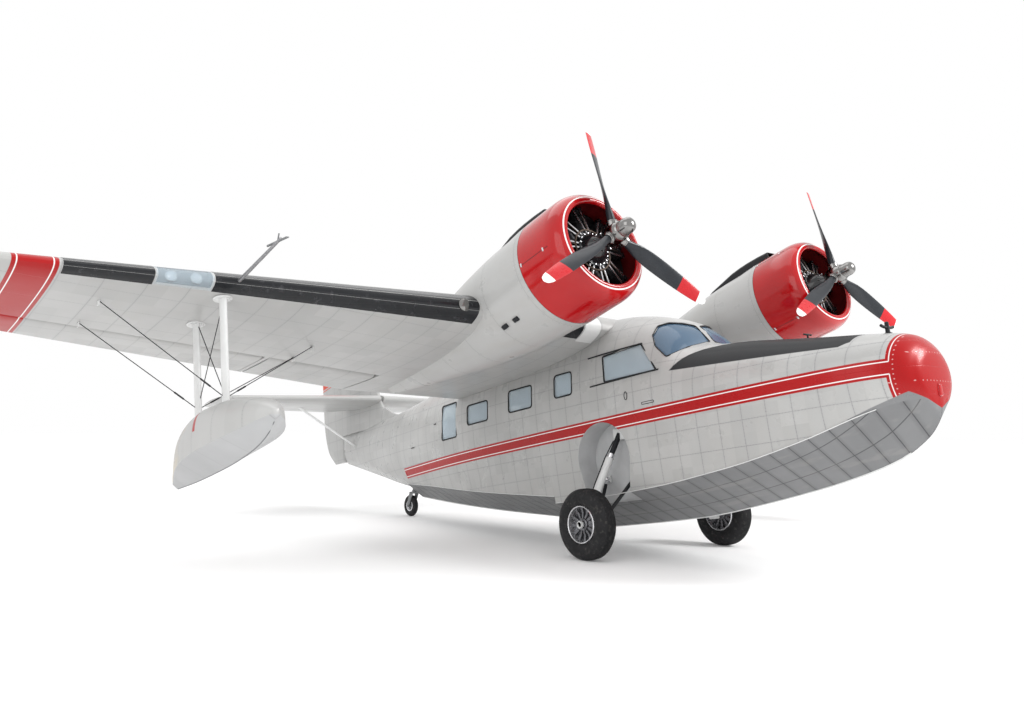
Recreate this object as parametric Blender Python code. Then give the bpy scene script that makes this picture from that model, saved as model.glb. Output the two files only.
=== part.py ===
"""Twin-engined flying boat, parked on its wheels.

Everything is modelled in the hull's own level frame: nose along -Y, port along +X, up along +Z,
with its origin on the main wheels' axle. One empty then tips the whole aircraft to its parked attitude.
"""
import math

import bmesh
import bpy
from mathutils import Matrix, Vector

# Whole aircraft, metres
SPAN = 14.94
MAIN_WHEEL_RADIUS = 0.394
PARKED_PITCH = math.radians(8.5)
GAP = 0.0003
WALL = 0.035
# Hinge pins and the holes they turn in
PIN_RADIUS = 0.008
BORE_RADIUS = 0.009

# Hull stations from the bow to the second step.
# Columns: y, keel z, chine z, chine half width, waist z, waist half width, crown z, roundness
HULL = (
    (-3.62, 0.76, 0.84, 0.10, 1.02, 0.16, 1.22, 2.0),
    (-3.57, 0.64, 0.84, 0.24, 1.06, 0.34, 1.36, 2.0),
    (-3.44, 0.50, 0.83, 0.38, 1.08, 0.48, 1.48, 2.1),
    (-3.15, 0.34, 0.76, 0.54, 1.12, 0.62, 1.545, 2.2),
    (-2.60, 0.20, 0.60, 0.68, 1.16, 0.72, 1.63, 2.3),
    (-1.90, 0.09, 0.46, 0.75, 1.18, 0.78, 1.75, 2.4),
    (-1.14, 0.00, 0.37, 0.77, 1.22, 0.81, 1.88, 2.5),
    (-0.97, -0.015, 0.355, 0.77, 1.25, 0.815, 2.08, 2.5),
    (-0.78, -0.03, 0.34, 0.77, 1.28, 0.82, 2.22, 2.6),
    (-0.40, -0.04, 0.32, 0.77, 1.32, 0.82, 2.36, 2.7),
    (0.10, -0.045, 0.30, 0.77, 1.36, 0.82, 2.43, 2.8),
    (0.95, -0.045, 0.29, 0.77, 1.36, 0.82, 2.38, 2.8),
    (0.96, 0.04, 0.37, 0.765, 1.36, 0.82, 2.38, 2.8),
    (2.20, 0.21, 0.52, 0.70, 1.38, 0.78, 2.36, 2.7),
    (3.10, 0.34, 0.64, 0.60, 1.40, 0.71, 2.35, 2.5),
    (4.00, 0.49, 0.77, 0.45, 1.42, 0.58, 2.25, 2.3),
    (5.00, 0.68, 0.90, 0.28, 1.46, 0.42, 2.13, 2.2),
)
# Tail cone stations behind the second step, same columns
TAIL = (
    (5.00, 0.82, 0.93, 0.26, 1.46, 0.42, 2.13, 2.2),
    (5.50, 0.92, 1.06, 0.20, 1.50, 0.34, 2.08, 2.1),
    (6.30, 1.16, 1.28, 0.13, 1.62, 0.22, 2.04, 2.0),
    (7.34, 1.47, 1.55, 0.05, 1.79, 0.075, 2.02, 2.0),
)
# Cabin hollow. The ceiling columns are y and z
CABIN_FRONT = -1.02
CABIN_BACK = 3.85
FLOOR_Z = 0.62
FLOOR_THICKNESS = 0.031
CEILING = ((-1.20, 1.76), (-0.90, 2.08), (-0.60, 2.20), (-0.22, 2.14), (-0.05, 1.86), (2.95, 1.855),
           (3.15, 2.00), (4.00, 2.00))

# Cabin windows. Columns: name, front y, back y, lower z, upper z
CABIN_WINDOWS = (
    ("front", 0.50, 0.84, 1.53, 1.82),
    ("middle", 1.33, 1.78, 1.51, 1.80),
    ("rear", 2.34, 2.79, 1.50, 1.78),
)
TALL_WINDOW = (3.16, 3.50, 1.39, 1.88)
SIDE_WINDOW = ((-0.88, 1.60), (-0.04, 1.60), (-0.04, 1.82), (-0.20, 1.90), (-0.64, 1.935))
# One windshield pane seen from ahead: x, z
WINDSHIELD = ((0.035, 1.93), (0.50, 1.78), (0.60, 1.80), (0.58, 2.00), (0.44, 2.11), (0.24, 2.155),
              (0.035, 2.12))
DOOR = (3.02, 3.64, 0.78, 1.93)
DOOR_CLEARANCE = 0.006

# Wing
WING_CHORD = 3.05
TIP_CHORD = 1.50
WING_KINK_X = 2.45
WING_LE_Y = -0.10
WING_LE_Z = 2.244
DIHEDRAL = math.radians(2.5)
INCIDENCE = math.radians(7.0)
LE_SWEEP = 0.142
ROOT_THICKNESS = 0.165
TIP_THICKNESS = 0.11
CAMBER = 0.022
TIP_START = 6.95
HINGE_FRACTION = 0.74
FLAP_X = (2.53, 3.955)
AILERON_X = (4.03, 6.82)
# Room beside each surface, wider at the flaps, whose hinge line runs across their ends at an angle
FLAP_END_GAP = 0.020
AILERON_END_GAP = 0.008
AIRFOIL_T = (1.0, 0.85, 0.7, 0.5, 0.3, 0.15, 0.06, 0.02)

# Engines and propellers
ENGINE_X = 1.916
HUB_Y = -1.598
HUB_Z = 2.764
THRUST_TILT = math.radians(11.0)
PROP_RADIUS = 1.27
SHAFT_RADIUS = 0.040
COWL_RADIUS = 0.605
COWL_BACK = 1.08
CYLINDERS = 9
BLADES = 3

# Landing gear
WHEEL_X = 1.175
WHEEL_WIDTH = 0.235
AXLE_RADIUS = 0.030
WELL_CENTRE = (0.02, 0.72)
WELL_RADIUS = 0.42
WELL_X = 0.52
TAIL_WHEEL_RADIUS = 0.17
TAIL_WHEEL_Y = 5.36
TAIL_PIVOT_Y = 5.24
TAIL_POST_RADIUS = 0.026

# Wing floats
FLOAT_X = 5.07
# Columns: y, keel z, chine z, chine half width, deck z
FLOAT = (
    (-0.54, 1.07, 1.10, 0.03, 1.14),
    (-0.42, 0.97, 1.05, 0.14, 1.22),
    (-0.16, 0.87, 0.99, 0.24, 1.30),
    (0.28, 0.79, 0.94, 0.29, 1.33),
    (0.75, 0.74, 0.90, 0.28, 1.31),
    (1.28, 0.70, 0.83, 0.20, 1.19),
    (1.78, 0.68, 0.73, 0.05, 0.90),
)
FLOAT_STRUT_Y = (0.50, 1.18)
# Bracing wires. Columns: strut y, distance of the wing anchor outboard of the float, anchor y
FLOAT_WIRES = ((0.50, 0.98, 0.98), (1.18, 0.98, 1.64), (0.50, -1.32, 1.32), (1.18, -1.32, 1.78))

# Tail surfaces
STAB_Z = 2.44
STAB_HALF_SPAN = 2.75
STAB_LE_Y = 6.02
STAB_SWEEP = 0.11
STAB_ROOT_CHORD = 1.62
STAB_TIP_CHORD = 0.98
STAB_HINGE = 0.60
FIN_TOP = 4.30
FIN_THICKNESS = 0.15
RUDDER_Y = 7.42
RUDDER_HINGES = (1.85, 2.95, 3.95)
RUDDER_NOSE = 0.055
ELEVATOR_X = (0.22, 2.45)
ELEVATOR_HINGES = (0.7, 1.9)
STAB_THICKNESS = 0.12


def clear_scene():
    for old in list(bpy.data.objects):
        bpy.data.objects.remove(old)


def finish(name, colour, roughness, metallic=0.0, alpha=1.0):
    material = bpy.data.materials.new(name)
    material.use_nodes = True
    shader = material.node_tree.nodes["Principled BSDF"]
    shader.inputs["Base Color"].default_value = (*colour, 1.0)
    shader.inputs["Roughness"].default_value = roughness
    shader.inputs["Metallic"].default_value = metallic
    shader.inputs["Alpha"].default_value = alpha
    return material


# Building blocks

def add_object(name, bm, material, matrix=None):
    mesh = bpy.data.meshes.new(name)
    bm.to_mesh(mesh)
    bm.free()
    obj = bpy.data.objects.new(name, mesh)
    bpy.context.collection.objects.link(obj)
    obj.parent = bpy.data.objects["datum"]
    obj.matrix_basis = matrix or Matrix.Identity(4)
    mesh.materials.append(material)
    return obj


def combine(target, other, operation):
    """Cut, join or intersect two objects for good, and drop the second one."""
    modifier = target.modifiers.new(operation.lower(), "BOOLEAN")
    modifier.operation = operation
    modifier.solver = "EXACT"
    modifier.object = other
    bpy.context.view_layer.update()
    evaluated = target.evaluated_get(bpy.context.evaluated_depsgraph_get())
    mesh = bpy.data.meshes.new_from_object(evaluated)
    target.modifiers.clear()
    target.data = mesh
    bpy.data.objects.remove(other)
    return target


def cut(target, bm, matrix=None):
    return combine(target, add_object("cutter", bm, target.data.materials[0], matrix), "DIFFERENCE")


def join(target, bm, matrix=None):
    return combine(target, add_object("addition", bm, target.data.materials[0], matrix), "UNION")


def keep(target, bm, matrix=None):
    return combine(target, add_object("limit", bm, target.data.materials[0], matrix), "INTERSECT")


def loft(rings):
    bm = bmesh.new()
    loops = [[bm.verts.new(point) for point in ring] for ring in rings]
    for near, far in zip(loops, loops[1:]):
        for i in range(len(near)):
            j = (i + 1) % len(near)
            bm.faces.new((near[i], near[j], far[j], far[i]))
    bmesh.ops.triangulate(bm, faces=bm.faces)
    bm.faces.new(loops[0])
    bm.faces.new(loops[-1])
    bmesh.ops.recalc_face_normals(bm, faces=bm.faces)
    return bm


def turned(profile, segments, closed=False):
    """Turn a profile of (radius, y) points about the Y axis."""
    bm = bmesh.new()
    verts = [bm.verts.new((radius, y, 0.0)) for radius, y in profile]
    edges = [bm.edges.new(pair) for pair in zip(verts, verts[1:])]
    if closed:
        edges.append(bm.edges.new((verts[-1], verts[0])))
    bmesh.ops.spin(bm, geom=verts + edges, axis=(0, 1, 0), cent=(0, 0, 0), steps=segments,
                   angle=math.tau, use_merge=True)
    bmesh.ops.remove_doubles(bm, verts=bm.verts, dist=1e-5)
    bmesh.ops.recalc_face_normals(bm, faces=bm.faces)
    return bm


def box(low, high):
    bm = bmesh.new()
    centre = (Vector(low) + Vector(high)) / 2
    size = Vector(high) - Vector(low)
    bmesh.ops.create_cube(bm, size=1.0, matrix=Matrix.Translation(centre) @ Matrix.Diagonal((*size, 1.0)))
    return bm


def tube(start, end, radius, segments=12, end_radius=None):
    """A round bar between two points."""
    bm = bmesh.new()
    start, end = Vector(start), Vector(end)
    turn = (end - start).to_track_quat("Z", "Y").to_matrix().to_4x4()
    bmesh.ops.create_cone(bm, cap_ends=True, segments=segments, radius1=radius,
                          radius2=radius if end_radius is None else end_radius,
                          depth=(end - start).length, matrix=Matrix.Translation((start + end) / 2) @ turn)
    return bm


def merged(*meshes):
    """Put meshes that don't touch each other in one bmesh."""
    whole = bmesh.new()
    for bm in meshes:
        mesh = bpy.data.meshes.new("part")
        bm.to_mesh(mesh)
        bm.free()
        whole.from_mesh(mesh)
        bpy.data.meshes.remove(mesh)
    return whole


def grown(outline, grow):
    """Move a closed 2-D outline outwards by a small distance."""
    area = sum(a[0] * b[1] - b[0] * a[1] for a, b in zip(outline, outline[1:] + outline[:1]))
    sign = 1.0 if area > 0 else -1.0
    result = []
    for i, point in enumerate(outline):
        before = Vector(point) - Vector(outline[i - 1])
        after = Vector(outline[(i + 1) % len(outline)]) - Vector(point)
        first = Vector((before.y, -before.x)).normalized() * sign
        second = Vector((after.y, -after.x)).normalized() * sign
        normal = (first + second).normalized()
        reach = grow / max(normal.dot(first), 0.5)
        result.append((point[0] + normal.x * reach, point[1] + normal.y * reach))
    return result


# Hull

def section(station, inset=0.0, arc_steps=6):
    """Half outline from the keel up to the crown, mirrored to a closed ring of (x, z)."""
    _, keel, chine, chine_w, waist, waist_w, crown, roundness = station
    half = [(0.0, keel), (chine_w, chine), (waist_w, waist)]
    power = 2.0 / roundness
    for step in range(1, arc_steps):
        angle = math.pi / 2 * step / arc_steps
        half.append((waist_w * math.cos(angle) ** power, waist + (crown - waist) * math.sin(angle) ** power))
    half.append((0.0, crown))
    ring = half + [(-x, z) for x, z in half[-2:0:-1]]
    return grown(ring, -inset) if inset else ring


def interpolated(stations, y):
    for near, far in zip(stations, stations[1:]):
        if near[0] <= y <= far[0]:
            share = (y - near[0]) / (far[0] - near[0])
            return tuple(a + (b - a) * share for a, b in zip(near, far))
    return stations[0] if y < stations[0][0] else stations[-1]


def skin_x(y, z):
    """Half width of the hull at a height, on its outer skin."""
    half = [point for point in section(interpolated(HULL, y)) if point[0] >= 0.0]
    for (x0, z0), (x1, z1) in zip(half, half[1:]):
        if min(z0, z1) <= z <= max(z0, z1):
            return x0 + (x1 - x0) * (z - z0) / (z1 - z0)
    return 0.0


def hull_loft(stations, inset=0.0):
    return loft([[(x, s[0], z) for x, z in section(s, inset)] for s in stations])


def cabin_space(inset=0.0):
    """The hollow of cockpit and cabin: the hull's inner skin, cut at the floor and ceiling."""
    front, back = CABIN_FRONT + inset, CABIN_BACK - inset
    ys = [front] + [s[0] for s in HULL if front + 0.02 < s[0] < back - 0.02] + [back]
    bm = loft([[(x, y, z) for x, z in section(interpolated(HULL, y), WALL + inset)] for y in ys])
    space = add_object("cabin_space", bm, bpy.data.materials["cabin grey"])
    rings = []
    for y, top in CEILING:
        low, high = FLOOR_Z + inset, top - inset
        rings.append([(-1, y, low), (1, y, low), (1, y, high), (-1, y, high)])
    keep(space, loft(rings))
    for side in (-1, 1):
        cut(space, well_shape(side, 0.03 + inset))
    return space


def well_shape(side, margin=0.0):
    """The round wheel well with its open lower edge, in one hull side."""
    y, z = WELL_CENTRE
    radius = WELL_RADIUS + margin
    arc = [math.radians(a) for a in range(-20, 201, 20)]
    outline = [(y + radius * math.cos(a), z + radius * math.sin(a)) for a in arc]
    outline += [(y - 0.32 - margin, 0.22 - margin), (y + 0.32 + margin, 0.22 - margin)]
    near = [(side * (WELL_X - margin), a, b) for a, b in outline]
    far = [(side * 1.0, a, b) for a, b in outline]
    return loft([near, far])


def side_prism(side, outline, inner=0.25, outer=1.0):
    """A prism across one hull side from an outline of (y, z)."""
    return loft([[(side * inner, y, z) for y, z in outline], [(side * outer, y, z) for y, z in outline]])


def rectangle(front, back, low, high):
    return [(front, low), (back, low), (back, high), (front, high)]


def make_hull(paint):
    hull = add_object("hull", hull_loft(HULL), paint)
    space = cabin_space()
    combine(hull, space, "DIFFERENCE")
    cut(hull, wing_cutter())
    for side in (-1, 1):
        cut(hull, well_shape(side))
        cut(hull, side_prism(side, SIDE_WINDOW, 0.45))
        for _, front, back, low, high in CABIN_WINDOWS:
            cut(hull, side_prism(side, rectangle(front, back, low, high), 0.5))
        cut(hull, loft([[(side * x, y, z) for x, z in WINDSHIELD] for y in (-1.30, -0.68)]))
    cut(hull, side_prism(-1, rectangle(*TALL_WINDOW), 0.4))
    cut(hull, side_prism(1, rectangle(*DOOR), 0.35))
    for z in door_hinge_heights():
        join(hull, door_lug(z, False))
    return hull


def make_tail(paint):
    """Closed tail cone with its fixed fin."""
    stations = ((5.0 + GAP, *TAIL[0][1:]),) + TAIL[1:]
    tail = add_object("hull_tail", hull_loft(stations), paint)
    join(tail, fin_loft())
    socket = tube((0, TAIL_PIVOT_Y, 0.70), (0, TAIL_PIVOT_Y, 0.965), TAIL_POST_RADIUS + 0.0009, 16)
    cut(tail, socket)
    for z in RUDDER_HINGES:
        join(tail, hinge_fixed(0.11), rudder_hinge(z))
    return tail


def glazing(name, side, front, back, low, high, glass):
    """A thin pane strip that lies against the inner skin behind the window openings."""
    strip = cabin_space(GAP)
    strip.name = name
    strip.data.materials[0] = glass
    inner = cabin_space(0.008)
    combine(strip, inner, "DIFFERENCE")
    if side:
        keep(strip, box((min(side * 0.3, side), front, low), (max(side * 0.3, side), back, high)))
    else:
        keep(strip, box((-1, front, low), (1, back, high)))
    return strip


# Wing

def chord_at(x):
    a = min(abs(x), SPAN / 2)
    if a <= WING_KINK_X:
        return WING_CHORD
    share = (a - WING_KINK_X) / (SPAN / 2 - WING_KINK_X)
    return WING_CHORD + (TIP_CHORD - WING_CHORD) * share


def leading_edge(x):
    a = abs(x)
    y = WING_LE_Y + max(a - WING_KINK_X, 0.0) * LE_SWEEP
    return Vector((x, y, WING_LE_Z + a * math.tan(DIHEDRAL)))


def thickness_at(x):
    share = max(abs(x) - WING_KINK_X, 0.0) / (SPAN / 2 - WING_KINK_X)
    return ROOT_THICKNESS + (TIP_THICKNESS - ROOT_THICKNESS) * min(share, 1.0)


def half_thickness(t, ratio):
    bulge = 0.2969 * math.sqrt(t) - 0.126 * t - 0.3516 * t ** 2 + 0.2843 * t ** 3 - 0.1036 * t ** 4
    return 5 * ratio * bulge


def camber(t):
    return CAMBER * math.sin(math.pi * t ** 0.7)


def airfoil(chord, ratio):
    """Closed outline of (along, up), from the upper trailing edge round the nose to the lower one."""
    upper = [(t * chord, (camber(t) + half_thickness(t, ratio)) * chord + 0.003) for t in AIRFOIL_T]
    lower = [(t * chord, (camber(t) - half_thickness(t, ratio)) * chord - 0.003) for t in AIRFOIL_T[::-1]]
    return upper + [(0.0, 0.0)] + lower


def on_wing(x, along, up):
    """A point of the wing section at x."""
    start = leading_edge(x)
    c, s = math.cos(INCIDENCE), math.sin(INCIDENCE)
    return Vector((x, start.y + along * c + up * s, start.z - along * s + up * c))


def inside_wing(x, y):
    """The middle of the wing's thickness over a place on the plan."""
    chord = chord_at(x)
    along = (y - leading_edge(x).y) / math.cos(INCIDENCE)
    return on_wing(x, along, camber(along / chord) * chord)


def wing_ring(x, grow=0.0, scale=1.0, shift=0.0):
    chord = chord_at(x)
    ring = airfoil(chord * scale, thickness_at(x) * min(1.0, scale + 0.15))
    ring = grown(ring, grow) if grow else ring
    return [on_wing(x, along + shift * chord, up) for along, up in ring]


def wing_loft(side, start, end, grow=0.0):
    """Wing panel between two stations, without its rounded tip. Start 0 gives the whole wing."""
    stops = sorted({start, end} | ({WING_KINK_X} if start < WING_KINK_X < end else set()))
    xs = [side * a for a in stops]
    if start == 0.0:
        xs = [-side * a for a in reversed(stops[1:])] + xs
    return loft([wing_ring(x, grow) for x in xs])


def wing_cutter():
    return wing_loft(1, 0.0, TIP_START, GAP)


def hinge_point(x, fraction=HINGE_FRACTION):
    chord = chord_at(x)
    return on_wing(x, fraction * chord, camber(fraction) * chord)


def nose_radius(x):
    return half_thickness(HINGE_FRACTION, thickness_at(x)) * chord_at(x)


def surface_bay(side, inner, outer, end_gap):
    """Space that a flap or aileron takes out of the wing."""
    rings = []
    for a in (inner - end_gap, outer + end_gap):
        x = side * a
        chord = chord_at(x)
        front = HINGE_FRACTION * chord - nose_radius(x) - 0.008
        rings.append([on_wing(x, front, -0.4), on_wing(x, chord + 0.3, -0.4), on_wing(x, chord + 0.3, 0.4),
                      on_wing(x, front, 0.4)])
    return loft(rings)


def surface_ring(x):
    """Section of a flap or aileron: a round nose on the hinge and a wedge to the trailing edge."""
    chord = chord_at(x)
    hinge = HINGE_FRACTION * chord
    middle = camber(HINGE_FRACTION) * chord
    radius = nose_radius(x)
    ring = []
    for step in range(7):
        angle = math.radians(90 + 30 * step)
        ring.append(on_wing(x, hinge + radius * math.cos(angle), middle + radius * math.sin(angle)))
    ring.append(on_wing(x, chord, -0.003))
    ring.append(on_wing(x, chord, 0.003))
    return ring


def hinge_frame(point, axis, aft):
    """Axes of a hinge: Z along the hinge, X aft."""
    z = Vector(axis).normalized()
    x = (Vector(aft) - z * Vector(aft).dot(z)).normalized()
    y = z.cross(x)
    turn = Matrix((x, y, z)).transposed().to_4x4()
    return Matrix.Translation(point) @ turn


def hinge_fixed(reach):
    """Lug on the fixed side with its pin."""
    lug = add_object("lug", box((-reach, -0.010, -0.006), (0.010, 0.010, 0.006)), bpy.data.materials["steel"])
    join(lug, tube((0, 0, -0.034), (0, 0, 0.034), PIN_RADIUS, 10))
    bm = bmesh.new()
    bm.from_mesh(lug.data)
    bpy.data.objects.remove(lug)
    return bm


def open_hinge(surface, matrix):
    """Notch and bores in the moving side, round one lug and its pin."""
    cut(surface, box((-0.3, -0.25, -0.014), (0.024, 0.25, 0.014)), matrix)
    cut(surface, tube((0, 0, -0.036), (0, 0, 0.036), BORE_RADIUS, 10), matrix)


def wing_hinge(side, x):
    here, there = hinge_point(side * (x - 0.05)), hinge_point(side * (x + 0.05))
    aft = on_wing(side * x, 1.0, 0.0) - on_wing(side * x, 0.0, 0.0)
    return hinge_frame((here + there) / 2, there - here, aft)


def make_surface(name, side, limits, end_gap, hinge_xs, panel, paint):
    """A flap or aileron, its bay in the wing panel and its hinges."""
    inner, outer = limits
    cut(panel, surface_bay(side, inner, outer, end_gap))
    rings = [surface_ring(side * inner), surface_ring(side * outer)]
    surface = add_object(name, loft(rings), paint)
    for x in hinge_xs:
        matrix = wing_hinge(side, x)
        join(panel, hinge_fixed(nose_radius(x) + 0.03), matrix)
        open_hinge(surface, matrix)
    set_origin(surface, hinge_point(side * (inner + outer) / 2))
    return surface


def set_origin(obj, point):
    """Put an object's origin on its joint without moving its shape."""
    point = Vector(point)
    obj.data.transform(Matrix.Translation(-point))
    obj.matrix_basis = Matrix.Translation(point)


def make_wing(paint):
    end = WING_KINK_X
    add_object("wing_center", wing_loft(1, 0.0, end), paint)
    for side, word in ((-1, "starboard"), (1, "port")):
        tips = [wing_ring(side * x, 0.0, scale, shift) for x, scale, shift in
                ((end + GAP, 1.0, 0.0), (TIP_START, 1.0, 0.0), (7.24, 0.84, 0.06), (7.40, 0.62, 0.14),
                 (SPAN / 2, 0.30, 0.26))]
        panel = add_object("wing_" + word, loft(tips), paint)
        make_surface("flap_" + word, side, FLAP_X, FLAP_END_GAP, (2.9, 3.6), panel, paint)
        make_surface("aileron_" + word, side, AILERON_X, AILERON_END_GAP, (4.6, 6.2), panel, paint)


# Nacelles, cowls, engines and propellers

def thrust_frame(side):
    """Axes of one engine: origin in the propeller disc, Y aft along the shaft."""
    return Matrix.Translation((side * ENGINE_X, HUB_Y, HUB_Z)) @ Matrix.Rotation(-THRUST_TILT, 4, "X")


def nacelle_loft(side, grow=0.0):
    """Columns: y, centre z, radius, tilt of the section in degrees."""
    face = thrust_frame(side) @ Vector((0, COWL_BACK + GAP - grow, 0))
    table = (
        (face.y, face.z, 0.590, math.degrees(THRUST_TILT)),
        (-0.05, 2.465, 0.570, 9.0),
        (0.60, 2.350, 0.500, 7.0),
        (1.30, 2.235, 0.385, 6.0),
        (2.00, 2.110, 0.250, 6.0),
        (2.62, 2.000, 0.110, 6.0),
    )
    rings = []
    for y, z, radius, tilt in table:
        up = Vector((0, math.sin(math.radians(tilt)), math.cos(math.radians(tilt))))
        ring = []
        for step in range(24):
            angle = math.tau * step / 24
            reach = radius + grow
            middle = Vector((side * ENGINE_X, y, z))
            ring.append(middle + Vector((reach * math.cos(angle), 0, 0)) + up * reach * math.sin(angle))
        rings.append(ring)
    return loft(rings)


def cowl_profile():
    """Closed profile of the cowl wall: radius, distance behind the propeller disc."""
    r = COWL_RADIUS
    return [(r - 0.165, 0.195), (r - 0.125, 0.160), (r - 0.055, 0.195), (r - 0.018, 0.26), (r, 0.36),
            (r, 0.80), (r - 0.015, COWL_BACK), (r - 0.033, COWL_BACK), (r - 0.018, 0.80), (r - 0.018, 0.36),
            (r - 0.06, 0.255)]


def make_engine(name, matrix, paint):
    case = turned(((0.0, 0.118), (0.062, 0.118), (0.070, 0.15), (0.115, 0.22), (0.150, 0.30), (0.190, 0.34),
                   (0.190, 0.60), (0.26, 0.62), (0.26, 0.68), (0.17, 0.70), (0.17, COWL_BACK),
                   (0.0, COWL_BACK)), 14)
    engine = add_object(name, case, paint, matrix)
    barrels, rods = [], []
    for index in range(CYLINDERS):
        turn = Matrix.Rotation(math.tau * index / CYLINDERS, 4, "Y")
        barrel = turned(((0.0, 0.16), (0.056, 0.16), (0.056, 0.36), (0.082, 0.37), (0.078, 0.53),
                         (0.0, 0.54)), 8)
        place = turn @ Matrix.Translation((0, 0.47, 0)) @ Matrix.Rotation(math.pi / 2, 4, "X")
        bmesh.ops.transform(barrel, matrix=place, verts=barrel.verts)
        barrels.append(barrel)
        for x in (-0.035, 0.035):
            foot, head = Vector((x * 0.6, 0.325, 0.150)), Vector((x * 1.4, 0.405, 0.47))
            rods.append(tube(turn @ foot, turn @ head, 0.009, 4))
    join(engine, merged(*barrels), matrix)
    join(engine, merged(*rods), matrix)
    join(engine, tube((0, 0.13, 0), (0, -0.055, 0), SHAFT_RADIUS, 16), matrix)
    return engine


def blade_loft():
    """One blade along +Z. Columns: radius, chord, thickness, pitch in degrees."""
    table = ((0.05, 0.088, 0.088, 0.0), (0.17, 0.090, 0.080, 60.0), (0.34, 0.150, 0.045, 50.0),
             (0.60, 0.175, 0.028, 36.0), (0.90, 0.165, 0.020, 27.0), (1.15, 0.130, 0.014, 22.0),
             (1.245, 0.085, 0.010, 20.0), (PROP_RADIUS, 0.030, 0.008, 20.0))
    rings = []
    for radius, chord, thick, pitch in table:
        beta = math.radians(pitch)
        ring = []
        for step in range(8):
            angle = math.tau * (step + 0.5) / 8
            u, v = chord / 2 * math.cos(angle), thick / 2 * math.sin(angle)
            c, s = math.cos(beta), math.sin(beta)
            ring.append((u * c - v * s, u * s + v * c, radius))
        rings.append(ring)
    return loft(rings)


def make_propeller(name, matrix, metal):
    hub = turned(((0.0, -0.262), (0.035, -0.258), (0.066, -0.235), (0.078, -0.20), (0.078, -0.11),
                  (0.10, -0.09), (0.105, 0.07), (0.09, 0.106), (0.0, 0.106)), 14)
    prop = add_object(name, hub, metal, matrix)
    for index in range(BLADES):
        bm = blade_loft()
        bmesh.ops.rotate(bm, verts=bm.verts, cent=(0, 0, 0),
                         matrix=Matrix.Rotation(math.tau * index / BLADES, 3, "Y"))
        join(prop, bm, matrix)
    cut(prop, tube((0, 0.13, 0), (0, -0.065, 0), SHAFT_RADIUS + 0.001, 16), matrix)
    return prop


def make_power(word, side, paints):
    matrix = thrust_frame(side)
    nacelle = add_object("nacelle_" + word, nacelle_loft(side), paints["white"])
    cut(nacelle, wing_cutter())
    add_object("cowl_" + word, turned(cowl_profile(), 28, closed=True), paints["red"], matrix)
    make_engine("engine_" + word, matrix, paints["black"])
    make_propeller("propeller_" + word, matrix, paints["prop"])
    scoop = add_object("cooler_scoop_" + word, scoop_loft(), paints["black"], matrix)
    cut(scoop, nacelle_loft(side, GAP))
    return nacelle


def scoop_loft():
    """Flat intake on top of the nacelle. Columns: distance aft, half width, height over the shaft."""
    rings = []
    for y, half, top in ((COWL_BACK + 0.01, 0.14, 0.665), (1.35, 0.15, 0.655), (1.75, 0.13, 0.60),
                         (2.0, 0.08, 0.52)):
        rings.append([(-half, y, 0.42), (half, y, 0.42), (half, y, top - 0.03), (half - 0.03, y, top),
                      (-half + 0.03, y, top), (-half, y, top - 0.03)])
    return loft(rings)


# Landing gear

def wheel_profile(radius, width, rim, bore):
    """Half of the tyre and rim section, mirrored: radius, offset along the axle."""
    w = width / 2
    half = [(bore, 0.32 * width), (rim * 0.30, 0.32 * width), (rim * 0.42, 0.14 * width),
            (rim * 0.82, 0.14 * width), (rim, 0.38 * width), (rim + 0.5 * (radius - rim), w),
            (radius - 0.10 * (radius - rim), 0.70 * w), (radius, 0.28 * w)]
    return half + [(r, -y) for r, y in reversed(half)]


def make_wheel(name, centre, radius, width, rim, bore, segments, rubber):
    """A wheel that stands with one flat of its outline on level ground."""
    outer = radius / math.cos(math.pi / segments)
    bm = turned(wheel_profile(outer, width, rim, bore), segments, closed=True)
    roll = PARKED_PITCH - math.pi / 2 + math.pi / segments
    matrix = Matrix.Translation(centre) @ Matrix.Rotation(roll, 4, "X") @ Matrix.Rotation(math.pi / 2, 4, "Z")
    return add_object(name, bm, rubber, matrix)


def make_gear_leg(word, side, metal):
    """Oleo leg, axle and V links, fused as the folding frame that carries one wheel."""
    inner = WELL_X + GAP
    low, high = sorted((side * inner, side * (inner + 0.07)))
    leg = add_object("gear_leg_" + word, box((low, -0.09, 0.86), (high, 0.09, 1.00)), metal)
    knee = Vector((side * 1.00, 0, 0.03))
    join(leg, tube((side * (inner + 0.05), 0, 0.92), knee, 0.045, 14))
    join(leg, tube((side * 0.97, 0, 0), (side * (WHEEL_X + 0.5 * WHEEL_WIDTH), 0, 0), AXLE_RADIUS, 16))
    low, high = sorted((side * 0.955, side * 1.035))
    join(leg, box((low, -0.055, -0.055), (high, 0.055, 0.09)))
    for y in (-0.24, 0.24):
        foot = (side * (inner + 0.02), y, 0.50)
        join(leg, tube(foot, (side * 0.99, y * 0.14, 0.0), 0.022, 10))
        low, high = sorted((side * inner, side * (inner + 0.03)))
        join(leg, box((low, y - 0.04, 0.46), (high, y + 0.04, 0.54)))
    return leg


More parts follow.
